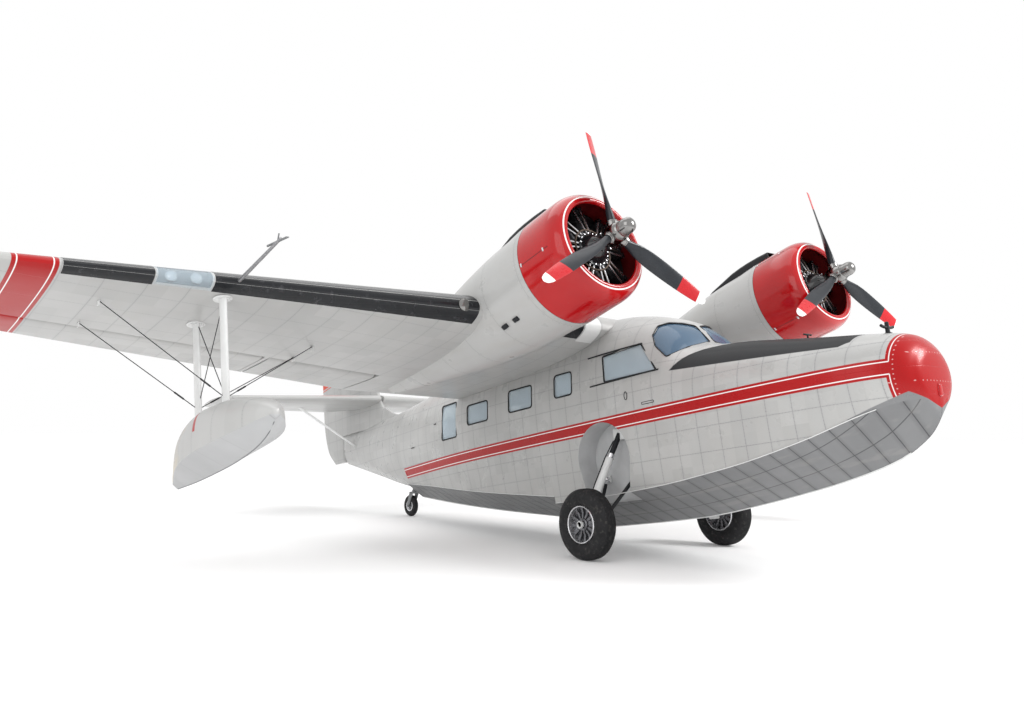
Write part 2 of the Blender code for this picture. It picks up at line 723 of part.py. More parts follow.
def make_tail_wheel(metal, rubber):
    z = tail_axle_z()
    post = tube((0, TAIL_PIVOT_Y, 0.77), (0, TAIL_PIVOT_Y, 0.95), TAIL_POST_RADIUS, 16)
    fork = add_object("tail_fork", post, metal)
    join(fork, box((-0.064, TAIL_PIVOT_Y - 0.05, 0.757), (0.064, TAIL_PIVOT_Y + 0.06, 0.79)))
    for side in (-1, 1):
        near, far = sorted((side * 0.048, side * 0.064))
        outline = [(TAIL_PIVOT_Y - 0.045, 0.775), (TAIL_PIVOT_Y + 0.055, 0.775),
                   (TAIL_WHEEL_Y + 0.03, z + 0.02), (TAIL_WHEEL_Y + 0.015, z - 0.025),
                   (TAIL_WHEEL_Y - 0.025, z - 0.01)]
        join(fork, loft([[(x, a, b) for a, b in outline] for x in (near, far)]))
    join(fork, tube((-0.06, TAIL_WHEEL_Y, z), (0.06, TAIL_WHEEL_Y, z), 0.010, 12))
    set_origin(fork, (0, TAIL_PIVOT_Y, 0.77))
    make_wheel("tail_wheel", (0, TAIL_WHEEL_Y, z), TAIL_WHEEL_RADIUS, 0.084, 0.085, 0.0112, 14, rubber)


def tail_axle_z():
    """Height that puts both the main and the tail wheels on level ground."""
    drop = TAIL_WHEEL_RADIUS - MAIN_WHEEL_RADIUS + TAIL_WHEEL_Y * math.sin(PARKED_PITCH)
    return drop / math.cos(PARKED_PITCH)


# Wing floats

def float_loft(side, grow=0.0):
    rings = []
    for index, (y, keel, chine, half, deck) in enumerate(FLOAT):
        outline = [(0.0, keel), (half, chine), (half * 0.96, chine + 0.55 * (deck - chine)),
                   (half * 0.6, deck - 0.012), (0.0, deck)]
        outline += [(-x, z) for x, z in outline[-2:0:-1]]
        outline = grown(outline, grow) if grow else outline
        shift = grow if index == len(FLOAT) - 1 else -grow if index == 0 else 0.0
        rings.append([(side * FLOAT_X + x, y + shift, z) for x, z in outline])
    return loft(rings)


def strut_loft(top, foot, chord=0.135, thick=0.042):
    """Streamlined strut of eight-sided section."""
    rings = []
    for point in (top, foot):
        ring = []
        for step in range(8):
            angle = math.tau * (step + 0.5) / 8
            ring.append(Vector(point) + Vector((thick / 2 * math.cos(angle), chord / 2 * math.sin(angle), 0)))
        rings.append(ring)
    return loft(rings)


def make_float(word, side, paint):
    add_object("float_" + word, float_loft(side), paint)
    x = side * FLOAT_X
    feet = [Vector((x, y, 1.15)) for y in FLOAT_STRUT_Y]
    tops = [Vector((x, y, 2.45)) for y in FLOAT_STRUT_Y]
    frame = add_object("float_struts_" + word, strut_loft(tops[0], feet[0]), paint)
    bridge = [Vector((x, y, 1.36)) for y in FLOAT_STRUT_Y]
    join(frame, tube(bridge[0], bridge[1], 0.010, 8))
    join(frame, strut_loft(tops[1], feet[1]))
    wires = []
    for y, reach, anchor_y in FLOAT_WIRES:
        wires.append(((x, y, 1.40), inside_wing(side * (FLOAT_X + reach), anchor_y)))
    wires.append((bridge[0] + Vector((0, 0, 0.05)), tops[1]))
    wires.append((bridge[1] + Vector((0, 0, 0.05)), tops[0]))
    for start, end in wires:
        join(frame, tube(start, end, 0.0045, 6))
    cut(frame, wing_cutter())
    cut(frame, float_loft(side, GAP))
    return frame


# Tail surfaces

def symmetric_ring(chord, ratio, steps=(1.0, 0.8, 0.55, 0.3, 0.12, 0.03)):
    upper = [(t * chord, half_thickness(t, ratio) * chord + 0.003) for t in steps]
    lower = [(a, -b) for a, b in reversed(upper)]
    return upper + [(0.0, 0.0)] + lower


def fin_chord(z):
    """Leading edge of the fin at a height, from a swept foot to the rounded top."""
    table = ((1.95, 5.75), (2.30, 6.02), (2.70, 6.20), (3.80, 6.52), (4.12, 6.72), (FIN_TOP, 7.02))
    for (low, front), (high, back) in zip(table, table[1:]):
        if low <= z <= high:
            return front + (back - front) * (z - low) / (high - low)
    return table[-1][1]


def fin_loft():
    back = RUDDER_Y - RUDDER_NOSE - 0.008
    rings = []
    for z in (1.95, 2.30, 2.70, 3.80, 4.12, FIN_TOP):
        front = fin_chord(z)
        full = (back - front) / 0.62
        half = [(front + t * full, half_thickness(t, FIN_THICKNESS * 0.62) * full + 0.004)
                for t in (0.62, 0.45, 0.3, 0.12, 0.03)]
        outline = [(y, x) for y, x in half] + [(front, 0.0)] + [(y, -x) for y, x in reversed(half)]
        squeeze = 1.0 if z < 4.0 else 0.75 if z < 4.2 else 0.35
        rings.append([(x * squeeze, y, z) for y, x in outline])
    return loft(rings)


def rudder_hinge(z):
    return hinge_frame((0, RUDDER_Y, z), (0, 0, 1), (0, 1, 0))


def make_rudder(paint):
    """Columns: z, chord behind the hinge, half thickness at the nose."""
    table = ((1.50, 0.36, 0.050), (1.75, 0.60, RUDDER_NOSE), (2.30, 0.72, RUDDER_NOSE), (3.20, 0.70, 0.050),
             (3.90, 0.56, 0.040), (4.16, 0.42, 0.030), (FIN_TOP, 0.20, 0.016))
    rings = []
    for z, chord, radius in table:
        ring = []
        for step in range(7):
            angle = math.radians(90 + 30 * step)
            ring.append((radius * math.sin(angle), RUDDER_Y + radius * math.cos(angle), z))
        ring.append((-0.004, RUDDER_Y + chord, z))
        ring.append((0.004, RUDDER_Y + chord, z))
        rings.append(ring)
    rudder = add_object("rudder", loft(rings), paint)
    for z in RUDDER_HINGES:
        open_hinge(rudder, rudder_hinge(z))
    set_origin(rudder, (0, RUDDER_Y, 1.5))
    return rudder


def stab_chord(a):
    share = min(a / STAB_HALF_SPAN, 1.0)
    return STAB_ROOT_CHORD + (STAB_TIP_CHORD - STAB_ROOT_CHORD) * share


def stab_hinge_y(a):
    return STAB_LE_Y + a * STAB_SWEEP + STAB_HINGE * stab_chord(a)


def stab_ring(x, scale=1.0):
    a = abs(x)
    chord = stab_chord(a)
    ring = symmetric_ring(chord * scale, STAB_THICKNESS)
    front = STAB_LE_Y + a * STAB_SWEEP + (1 - scale) * 0.45 * chord
    return [(x, front + along, STAB_Z + up) for along, up in ring]


def elevator_ring(a, side):
    chord = stab_chord(a)
    radius = half_thickness(STAB_HINGE, STAB_THICKNESS) * chord
    y = stab_hinge_y(a)
    ring = []
    for step in range(7):
        angle = math.radians(90 + 30 * step)
        ring.append((side * a, y + radius * math.cos(angle), STAB_Z + radius * math.sin(angle)))
    back = STAB_LE_Y + a * STAB_SWEEP + chord
    return ring + [(side * a, back, STAB_Z - 0.003), (side * a, back, STAB_Z + 0.003)]


def make_stabilizer(word, side, paint, metal):
    rings = [stab_ring(side * a, scale) for a, scale in
             ((0.02, 1.0), (2.55, 1.0), (2.68, 0.82), (STAB_HALF_SPAN, 0.5))]
    stab = add_object("stabilizer_" + word, loft(rings), paint)
    bay = []
    for a in (0.0, ELEVATOR_X[1] + 0.008):
        chord = stab_chord(a)
        front = stab_hinge_y(a) - half_thickness(STAB_HINGE, STAB_THICKNESS) * chord - 0.008
        bay.append([(side * a, front, STAB_Z - 0.3), (side * a, front + 2.0, STAB_Z - 0.3),
                    (side * a, front + 2.0, STAB_Z + 0.3), (side * a, front, STAB_Z + 0.3)])
    cut(stab, loft(bay))
    cut(stab, tail_cutter())
    cut(stab, fin_cutter())
    elevator = add_object("elevator_" + word, loft([elevator_ring(a, side) for a in ELEVATOR_X]), paint)
    for a in ELEVATOR_HINGES:
        here, there = stab_hinge_y(a - 0.05), stab_hinge_y(a + 0.05)
        matrix = hinge_frame((side * a, (here + there) / 2, STAB_Z), (side * 0.1, there - here, 0), (0, 1, 0))
        join(stab, hinge_fixed(half_thickness(STAB_HINGE, STAB_THICKNESS) * stab_chord(a) + 0.03), matrix)
        open_hinge(elevator, matrix)
    middle = sum(ELEVATOR_X) / 2
    set_origin(elevator, (side * middle, stab_hinge_y(middle), STAB_Z))
    bar = strut_loft((side * 1.30, 6.72, STAB_Z), (side * 0.05, 6.85, 1.66), 0.09, 0.035)
    strut = add_object("tail_strut_" + word, bar, metal)
    cut(strut, stab_cutter(side))
    cut(strut, tail_cutter())
    return stab


def stab_cutter(side):
    rings = []
    for a in (0.5, 2.0):
        ring = grown(symmetric_ring(stab_chord(a), STAB_THICKNESS), GAP)
        rings.append([(side * a, STAB_LE_Y + a * STAB_SWEEP + along, STAB_Z + up) for along, up in ring])
    return loft(rings)


def tail_cutter():
    return hull_loft(TAIL, -GAP)


def fin_cutter():
    bm = fin_loft()
    for vert in bm.verts:
        vert.co.x += math.copysign(GAP * 1.5, vert.co.x) if abs(vert.co.x) > 1e-6 else 0.0
        vert.co.y += -GAP if vert.co.y < 6.9 else 0.02
    return bm


# Door

def door_axis():
    """Vertical hinge line just outside the skin at the door's front edge."""
    ring = section(interpolated(HULL, DOOR[0]))
    return Vector((max(x for x, _ in ring) + 0.026, DOOR[0] - 0.002, 0.0))


def door_hinge_heights():
    return (1.02, 1.70)


def door_lug(z, moving):
    """Arm from the skin to the hinge line, on the hull or on the door."""
    axis = door_axis()
    if moving:
        root = skin_x(axis.y + 0.06, z) - 0.020
        return box((root, axis.y - 0.012, z - 0.045), (axis.x + 0.012, axis.y + 0.06, z + 0.045))
    root = skin_x(axis.y - 0.07, z) - 0.020
    plate = box((root, axis.y - 0.07, z - 0.006), (axis.x + 0.010, axis.y + 0.010, z + 0.006))
    arm = add_object("arm", plate, bpy.data.materials["steel"])
    join(arm, tube((axis.x, axis.y, z - 0.034), (axis.x, axis.y, z + 0.034), PIN_RADIUS, 10))
    cut(arm, box((axis.x - 0.2, axis.y - 0.03, z - 0.1), (axis.x - 0.022, axis.y + 0.1, z + 0.1)))
    bm = bmesh.new()
    bm.from_mesh(arm.data)
    bpy.data.objects.remove(arm)
    return bm


def make_door(paint, glass):
    front, back, low, high = DOOR
    c = DOOR_CLEARANCE
    door = add_object("cabin_door", hull_loft([s for s in HULL if 2.0 < s[0] < 4.5]), paint)
    combine(door, cabin_space(), "DIFFERENCE")
    keep(door, side_prism(1, rectangle(front + c, back - c, low + c, high - c), 0.36))
    axis = door_axis()
    for z in door_hinge_heights():
        join(door, door_lug(z, True))
        cut(door, box((axis.x - 0.03, axis.y - 0.2, z - 0.014), (axis.x + 0.03, axis.y + 0.024, z + 0.014)))
        cut(door, box((axis.x - 0.2, axis.y - 0.2, z - 0.2), (axis.x - 0.0205, front + c, z + 0.2)))
        cut(door, tube((axis.x, axis.y, z - 0.036), (axis.x, axis.y, z + 0.036), BORE_RADIUS, 10))
    cut(door, side_prism(1, rectangle(*TALL_WINDOW), 0.3))
    set_origin(door, (axis.x, axis.y, low))
    front, back, low, high = TALL_WINDOW
    glazing("door_glazing", 1, front - 0.03, back + 0.03, low - 0.03, high + 0.02, glass)
    set_origin(bpy.data.objects["door_glazing"], (axis.x, axis.y, DOOR[2]))
    return door


# Cabin fittings

def make_cabin(paints):
    floor = cabin_space(GAP)
    floor.name = "cabin_floor"
    floor.data.materials[0] = paints["floor"]
    keep(floor, box((-0.7, CABIN_FRONT - 1, FLOOR_Z - 0.1), (0.7, CABIN_BACK + 1, FLOOR_Z + FLOOR_THICKNESS)))
    panel = cabin_space(GAP)
    panel.name = "instrument_panel"
    panel.data.materials[0] = paints["black"]
    keep(panel, box((-0.9, CABIN_FRONT + 0.01, 1.30), (0.9, CABIN_FRONT + 0.09, 1.66)))
    top = FLOOR_Z + FLOOR_THICKNESS + GAP
    for side, word in ((-1, "starboard"), (1, "port")):
        seat_row("crew_seat_" + word, [-0.30], side * 0.25, top, paints["leather"])
        seat_row("cabin_seats_" + word, [0.95, 1.80, 2.60], side * 0.34, top, paints["leather"])


def seat_row(name, places, x, floor, leather):
    """Seats in line, joined by the rail that carries them."""
    low, high = x - 0.035, x + 0.035
    rail = box((low, places[0] - 0.16, floor), (high, places[-1] + 0.20, floor + 0.05))
    row = add_object(name, rail, leather)
    for y in places:
        join(row, box((x - 0.15, y - 0.15, floor + 0.04), (x + 0.15, y + 0.16, floor + 0.26)))
        join(row, box((x - 0.19, y - 0.21, floor + 0.25), (x + 0.19, y + 0.22, floor + 0.38)))
        back = loft([[(x - 0.18, y + 0.14, floor + 0.30), (x + 0.18, y + 0.14, floor + 0.30),
                      (x + 0.18, y + 0.25, floor + 0.30), (x - 0.18, y + 0.25, floor + 0.30)],
                     [(x - 0.15, y + 0.27, floor + 0.92), (x + 0.15, y + 0.27, floor + 0.92),
                      (x + 0.15, y + 0.36, floor + 0.92), (x - 0.15, y + 0.36, floor + 0.92)]])
        join(row, back)
    return row


def make_small_fittings(paints):
    """Pitot mast on the starboard leading edge and the mooring cleat on the foredeck."""
    base = on_wing(-5.0, 0.10, 0.0)
    tip = base + Vector((0, -0.98, 0.155))
    mast = add_object("pitot_mast", tube(base, tip, 0.020, 10, 0.014), paints["prop"])
    join(mast, tube(tip + Vector((0, 0.27, 0.01)), tip + Vector((0, -0.15, -0.035)), 0.011, 8))
    cut(mast, wing_cutter())
    cleat = add_object("bow_cleat", box((-0.035, -3.24, 1.45), (0.035, -3.17, 1.62)), paints["black"])
    join(cleat, tube((-0.11, -3.205, 1.60), (0.11, -3.205, 1.60), 0.016, 10))
    cut(cleat, hull_loft([s for s in HULL if s[0] < -2.0], -GAP))


def build():
    clear_scene()
    datum = bpy.data.objects.new("datum", None)
    bpy.context.collection.objects.link(datum)
    datum.rotation_euler = (-PARKED_PITCH, 0, 0)
    datum.location = (0, 0, MAIN_WHEEL_RADIUS)
    white = finish("hull white", (0.72, 0.73, 0.73), 0.35)
    red = finish("cowl red", (0.55, 0.02, 0.02), 0.2)
    finish("cabin grey", (0.35, 0.35, 0.36), 0.6)
    steel = finish("steel", (0.55, 0.55, 0.56), 0.35, 1.0)
    black = finish("engine black", (0.03, 0.03, 0.035), 0.5)
    prop = finish("propeller grey", (0.12, 0.12, 0.13), 0.4, 0.3)
    rubber = finish("tyre rubber", (0.03, 0.03, 0.03), 0.8)
    glass = finish("window glass", (0.35, 0.45, 0.55), 0.05, 0.0, 0.35)
    leather = finish("seat leather", (0.18, 0.12, 0.09), 0.6)
    floor = finish("floor grey", (0.2, 0.2, 0.21), 0.7)
    paints = {"white": white, "red": red, "black": black, "prop": prop, "leather": leather, "floor": floor}

    make_hull(white)
    make_tail(white)
    make_wing(white)
    glazing("windshield", 0, -1.2, -0.60, 1.68, 2.18, glass)
    cut(bpy.data.objects["windshield"], box((-1, -0.955, 1.60), (1, -0.50, 1.97)))
    for side, word in ((-1, "starboard"), (1, "port")):
        glazing("cockpit_glazing_" + word, side, -0.92, -0.02, 1.57, 1.955, glass)
        glazing("cabin_glazing_" + word, side, 0.46, 2.84, 1.47, 1.85, glass)
    glazing("tall_glazing", -1, TALL_WINDOW[0] - 0.03, TALL_WINDOW[1] + 0.03, TALL_WINDOW[2] - 0.03,
            TALL_WINDOW[3] + 0.02, glass)
    make_door(white, glass)
    for side, word in ((-1, "starboard"), (1, "port")):
        make_power(word, side, paints)
        make_float(word, side, white)
        make_gear_leg(word, side, white)
        make_wheel("main_wheel_" + word, (side * WHEEL_X, 0, 0), MAIN_WHEEL_RADIUS, WHEEL_WIDTH, 0.205,
                   AXLE_RADIUS + 0.0012, 20, rubber)
        make_stabilizer(word, side, white, white)
    make_rudder(white)
    make_tail_wheel(steel, rubber)
    make_cabin(paints)
    make_small_fittings(paints)
    centre_on_ground(datum)


def centre_on_ground(datum):
    """Slide the aircraft along Y until its bounding box is centred over the origin."""
    bpy.context.view_layer.update()
    ys = [(obj.matrix_world @ vert.co).y for obj in datum.children for vert in obj.data.vertices]
    datum.location.y = -(min(ys) + max(ys)) / 2
    bpy.context.view_layer.update()


build()
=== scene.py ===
"""Looks of the twin-engined flying boat, parked on its wheels.

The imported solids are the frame. Most pieces here are shaped in the hull's own level frame, nose along -Y and
port along +X with its origin on the main axle, and piece() then tips them to the parked attitude.
"""
import math

import bmesh
import bpy
from mathutils import Matrix, Vector


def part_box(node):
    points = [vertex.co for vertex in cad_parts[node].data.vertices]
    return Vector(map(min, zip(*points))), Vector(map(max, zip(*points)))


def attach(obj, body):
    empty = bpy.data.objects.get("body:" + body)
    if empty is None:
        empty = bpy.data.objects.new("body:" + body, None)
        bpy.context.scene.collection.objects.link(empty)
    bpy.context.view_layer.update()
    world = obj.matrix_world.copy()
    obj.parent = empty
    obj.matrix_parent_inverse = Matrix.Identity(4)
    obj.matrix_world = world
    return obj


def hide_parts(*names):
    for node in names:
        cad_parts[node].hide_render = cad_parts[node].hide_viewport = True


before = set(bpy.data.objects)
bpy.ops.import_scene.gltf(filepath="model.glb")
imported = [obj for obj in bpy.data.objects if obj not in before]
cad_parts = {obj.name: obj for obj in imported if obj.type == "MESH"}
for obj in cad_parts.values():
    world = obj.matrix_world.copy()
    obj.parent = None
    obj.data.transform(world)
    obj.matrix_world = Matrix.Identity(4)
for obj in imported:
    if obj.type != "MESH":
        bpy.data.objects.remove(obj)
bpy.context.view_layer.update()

PITCH = math.radians(8.5)
AXLE_LOW, AXLE_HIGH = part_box("main_wheel_port")
AXLE_HEIGHT = 0.394
LEVEL = Matrix.Translation((0, (AXLE_LOW.y + AXLE_HIGH.y) / 2, AXLE_HEIGHT)) @ Matrix.Rotation(-PITCH, 4, "X")
SIDES = ((-1, "starboard"), (1, "port"))


# Paint and metal

class Tone:
    """A number worked out by a material's nodes, with plain arithmetic."""

    def __init__(self, tree, socket):
        self.tree = tree
        self.socket = socket

    def calc(self, operation, *others):
        node = self.tree.nodes.new("ShaderNodeMath")
        node.operation = operation
        for index, value in enumerate((self, *others)):
            if isinstance(value, Tone):
                self.tree.links.new(value.socket, node.inputs[index])
            else:
                node.inputs[index].default_value = value
        return Tone(self.tree, node.outputs[0])

    def __add__(self, other):
        return self.calc("ADD", other)

    def __sub__(self, other):
        return self.calc("SUBTRACT", other)

    def __mul__(self, other):
        return self.calc("MULTIPLY", other)

    def both(self, other):
        return self.calc("MINIMUM", other)

    def either(self, other):
        return self.calc("MAXIMUM", other)

    def above(self, limit, soft=0.003):
        """0 under the limit and 1 over it."""
        node = self.tree.nodes.new("ShaderNodeMapRange")
        self.tree.links.new(self.socket, node.inputs["Value"])
        node.inputs["From Min"].default_value = limit - soft
        node.inputs["From Max"].default_value = limit + soft
        return Tone(self.tree, node.outputs["Result"])

    def flipped(self):
        return self.calc("MULTIPLY_ADD", -1.0, 1.0)

    def below(self, limit, soft=0.003):
        return self.above(limit, soft).flipped()

    def within(self, low, high, soft=0.003):
        return self.above(low, soft).both(self.below(high, soft))

    def from_line(self, spacing, start=0.0):
        """Distance to the nearest of many lines that lie one spacing apart."""
        return (self - start).calc("PINGPONG", spacing / 2)


class Finish:
    """One material in the making. x, y and z are Tones in the hull's level frame."""

    def __init__(self, name, colour, rough, metal=0.0, coat=0.0):
        self.material = bpy.data.materials.new(name)
        self.material.use_nodes = True
        self.tree = self.material.node_tree
        self.shader = self.tree.nodes["Principled BSDF"]
        self.shader.inputs["Roughness"].default_value = rough
        self.shader.inputs["Metallic"].default_value = metal
        self.shader.inputs["Coat Weight"].default_value = coat
        self.shader.inputs["Coat Roughness"].default_value = 0.08
        self.shader.inputs["Specular IOR Level"].default_value = 0.25
        base = self.tree.nodes.new("ShaderNodeRGB")
        base.outputs[0].default_value = (*colour, 1.0)
        self.colour = base.outputs[0]
        self.height = None
        where = self.tree.nodes.new("ShaderNodeTexCoord")
        level = self.tree.nodes.new("ShaderNodeMapping")
        level.vector_type = "TEXTURE"
        level.inputs["Location"].default_value = LEVEL.translation
        level.inputs["Rotation"].default_value = (-PITCH, 0, 0)
        self.tree.links.new(where.outputs["Object"], level.inputs["Vector"])
        self.place = level.outputs["Vector"]
        split = self.tree.nodes.new("ShaderNodeSeparateXYZ")
        self.tree.links.new(self.place, split.inputs[0])
        self.x, self.y, self.z = (Tone(self.tree, split.outputs[i]) for i in range(3))

    def stretched(self, x, y, z):
        node = self.tree.nodes.new("ShaderNodeMapping")
        node.inputs["Scale"].default_value = (x, y, z)
        self.tree.links.new(self.place, node.inputs["Vector"])
        return node.outputs["Vector"]

    def noise(self, scale, detail=3.0, stretch=None):
        node = self.tree.nodes.new("ShaderNodeTexNoise")
        node.inputs["Scale"].default_value = scale
        node.inputs["Detail"].default_value = detail
        self.tree.links.new(self.stretched(*stretch) if stretch else self.place, node.inputs["Vector"])
        return Tone(self.tree, node.outputs["Fac"])

    def panel_tone(self, across, along):
        """One random value for each panel between the lines."""
        join = self.tree.nodes.new("ShaderNodeCombineXYZ")
        for index, tone in enumerate((across, along)):
            self.tree.links.new(tone.calc("FLOOR").socket, join.inputs[index])
        node = self.tree.nodes.new("ShaderNodeTexWhiteNoise")
        self.tree.links.new(join.outputs[0], node.inputs["Vector"])
        return Tone(self.tree, node.outputs["Value"])

    def paint(self, mask, colour):
        node = self.tree.nodes.new("ShaderNodeMix")
        node.data_type = "RGBA"
        self.tree.links.new(mask.socket, node.inputs["Factor"])
        self.tree.links.new(self.colour, node.inputs[6])
        node.inputs[7].default_value = (*colour, 1.0)
        self.colour = node.outputs[2]

    def shade(self, tone, low=0.85, high=1.1):
        """Darken and lighten the colour by a tone from 0 to 1."""
        value = tone * (high - low) + low
        node = self.tree.nodes.new("ShaderNodeVectorMath")
        node.operation = "SCALE"
        self.tree.links.new(self.colour, node.inputs[0])
        self.tree.links.new(value.socket, node.inputs["Scale"])
        self.colour = node.outputs[0]

    def raise_by(self, tone, metres):
        """Add a tone, times a height in metres, to the bump."""
        layer = tone * metres
        self.height = layer if self.height is None else self.height + layer

    def roughen(self, tone, low, high):
        self.tree.links.new((tone * (high - low) + low).socket, self.shader.inputs["Roughness"])

    def done(self, wave=None, gloss=None):
        """Join it all up, with a wavy surface of (scale, height) and a roughness of (scale, low, high)."""
        if wave:
            self.raise_by(self.noise(wave[0], 2.0), wave[1])
        if gloss:
            self.roughen(self.noise(gloss[0]), *gloss[1:])
        self.tree.links.new(self.colour, self.shader.inputs["Base Color"])
        if self.height is not None:
            bump = self.tree.nodes.new("ShaderNodeBump")
            bump.inputs["Strength"].default_value = 1.0
            bump.inputs["Distance"].default_value = 1.0
            self.tree.links.new(self.height.socket, bump.inputs["Height"])
            self.tree.links.new(bump.outputs["Normal"], self.shader.inputs["Normal"])
        return self.material


SKIN = (0.425, 0.425, 0.418)
RED = (0.36, 0.002, 0.003)
WHITE = (0.82, 0.82, 0.81)
BLACK = (0.012, 0.013, 0.015)
BOTTOM_GREY = (0.205, 0.208, 0.212)
SEAM_SHADOW = (0.16, 0.16, 0.17)
CAP_END = -3.399
STRIPE_END = 4.885


def worn(name, colour, rough, metal=0.0, coat=0.0, grain=18.0, spread=0.25):
    """A painted, cast or machined finish with uneven tone, a little grime and a faint surface."""
    finish = Finish(name, colour, rough, metal, coat)
    finish.shade(finish.noise(grain), 1.0 - spread, 1.0 + spread)
    return finish.done((grain * 8.0, 0.0004), (grain * 2.5, max(rough - 0.12, 0.03), min(rough + 0.15, 1.0)))


def riveted(finish, frames, frame_start, stringers, stringer_start, along, across, dark=0.30):
    """Seams with their rivets, and a slightly different tone in each panel."""
    to_frame = along.from_line(frames, frame_start)
    to_stringer = across.from_line(stringers, stringer_start)
    seams = to_frame.below(0.003, 0.003).either(to_stringer.below(0.002, 0.002))
    shadow = to_frame.below(0.014, 0.012).either(to_stringer.below(0.009, 0.008))
    on_frame = to_frame.calc("POWER", 2.0) + across.from_line(0.034).calc("POWER", 2.0)
    on_stringer = to_stringer.calc("POWER", 2.0) + along.from_line(0.034).calc("POWER", 2.0)
    rivets = on_frame.calc("MINIMUM", on_stringer).calc("SQRT").below(0.0045, 0.002)
    panels = finish.panel_tone((along - frame_start + frames / 2) * (1 / frames),
                               (across - stringer_start + stringers / 2) * (1 / stringers))
    finish.shade(panels, 0.94, 1.05)
    finish.paint(shadow * 0.16, (0.30, 0.30, 0.31))
    finish.paint(seams * (dark + 0.10), (0.13, 0.13, 0.14))
    finish.paint(rivets * 0.32, SEAM_SHADOW)
    finish.raise_by(seams, -0.0012)
    finish.raise_by(rivets, 0.0010)


def under_cap(f):
    """Where the grey of the bottom rises to its curved edge under the red nose cap."""
    return (f.z - f.x.calc("ABSOLUTE") * 0.43).below(0.755).both((f.z + f.y * 0.36).below(-0.3517))


def hull_finish():
    """Pale skin with the red band, white lines that turn along the nose cap, and the dull black foredeck."""
    f = Finish("hull skin", SKIN, 0.30, 0.05, 0.08)
    f.shade(f.noise(1.3, 4.0), 0.90, 1.10)
    streaks = f.noise(3.0, 3.0, (2.0, 2.0, 0.35)).above(0.55, 0.12)
    f.paint(streaks * 0.18, (0.42, 0.41, 0.39))
    low_dirt = f.z.below(0.75, 0.45) * f.noise(5.0, 4.0)
    f.paint(low_dirt * 0.35, (0.33, 0.32, 0.30))
    riveted(f, 0.28, -3.08, 0.26, 0.62, f.y, f.z)
    half = f.x.calc("ABSOLUTE")
    upper, lower = f.z + f.y * 0.01225, f.z + f.y * 0.0105
    f.paint(upper.below(1.1875).both(lower.above(1.0186)).both(f.y.below(STRIPE_END)), RED)
    cap = f.y.below(CAP_END, 0.002)
    f.paint(cap, RED)
    aft_of_cap = f.y.within(CAP_END - 0.025, STRIPE_END)
    f.paint(upper.within(1.153, 1.163, 0.002).both(aft_of_cap), WHITE)
    f.paint(lower.within(1.043, 1.053, 0.002).both(aft_of_cap), WHITE)
    beyond = upper.above(1.158).either(lower.below(1.048))
    f.paint(f.y.within(CAP_END - 0.029, CAP_END - 0.022, 0.002).both(beyond), WHITE)
    along_row = (half - f.y).from_line(0.050).calc("POWER", 2.0)
    lengthwise = f.z.from_line(0.27, 1.005).calc("POWER", 2.0) + along_row
    across = (f.y + 3.452).calc("POWER", 2.0) + f.z.from_line(0.045).calc("POWER", 2.0)
    rivets = lengthwise.both(across).calc("SQRT").below(0.0055, 0.002)
    f.paint(rivets.both(cap) * 0.8, (0.66, 0.40, 0.39))
    f.paint(under_cap(f).both(f.y.below(-3.0)), BOTTOM_GREY)
    front = f.y.above(-3.06, 0.004).both((f.y - half).above(-3.51, 0.004))
    back = f.y.below(-1.58, 0.006).either((f.y - half * 1.07).below(-1.90, 0.006))
    matt = front.both(back).both((f.z - f.y * 0.0658).above(1.617, 0.004))
    f.paint(matt, (0.022, 0.023, 0.025))
    f.raise_by(f.noise(2.2, 2.0), 0.006)
    f.roughen(matt.either(f.noise(4.0) * 0.35), 0.20, 0.75)
    return f.done()


def bottom_finish():
    """Grey planing bottom with its frames showing through as lines, each with a soft band of painted shade
    beside it.
    """
    f = Finish("hull bottom", BOTTOM_GREY, 0.42, 0.10)
    f.shade(f.noise(2.0, 4.0), 0.80, 1.15)
    to_frame = f.y.from_line(0.21, -3.24)
    seams = to_frame.below(0.004, 0.003)
    # The wider, darker band along each frame line is painted shade of the frames under the skin.
    edge = to_frame.below(0.026, 0.014)
    half = f.x.calc("ABSOLUTE").from_line(0.26, 0.0).below(0.004, 0.003)
    f.paint(edge * 0.35, (0.12, 0.12, 0.125))
    f.paint(seams.either(half) * 0.8, (0.035, 0.035, 0.038))
    scuffs = f.noise(9.0, 5.0, (1.0, 0.15, 1.0)).above(0.60, 0.06)
    f.paint(scuffs * 0.20, (0.34, 0.33, 0.31))
    f.paint(under_cap(f).flipped().both(f.y.below(CAP_END, 0.002)), RED)
    f.raise_by(seams.either(half), -0.0015)
    return f.done((2.5, 0.006), (6.0, 0.32, 0.60))


def wing_finish():
    """Pale wing skin with ribs, spars and the red bands near the tips."""
    f = Finish("wing skin", SKIN, 0.32, 0.08, 0.2)
    f.shade(f.noise(1.1, 4.0), 0.92, 1.08)
    riveted(f, 0.36, 0.0, 0.42, 0.28, f.x, f.y, 0.22)
    stains = f.noise(2.6, 4.0, (2.2, 0.5, 1.0)).above(0.58, 0.10)
    f.paint(stains * 0.16, (0.42, 0.41, 0.38))
    half = f.x.calc("ABSOLUTE")
    on_wing = f.y.below(3.4)
    f.paint(half.within(6.50, 6.86, 0.002).both(on_wing), RED)
    f.paint(half.within(6.535, 6.545, 0.002).both(on_wing), WHITE)
    f.paint(half.within(6.815, 6.825, 0.002).both(on_wing), WHITE)
    return f.done((1.8, 0.006), (3.5, 0.24, 0.46))


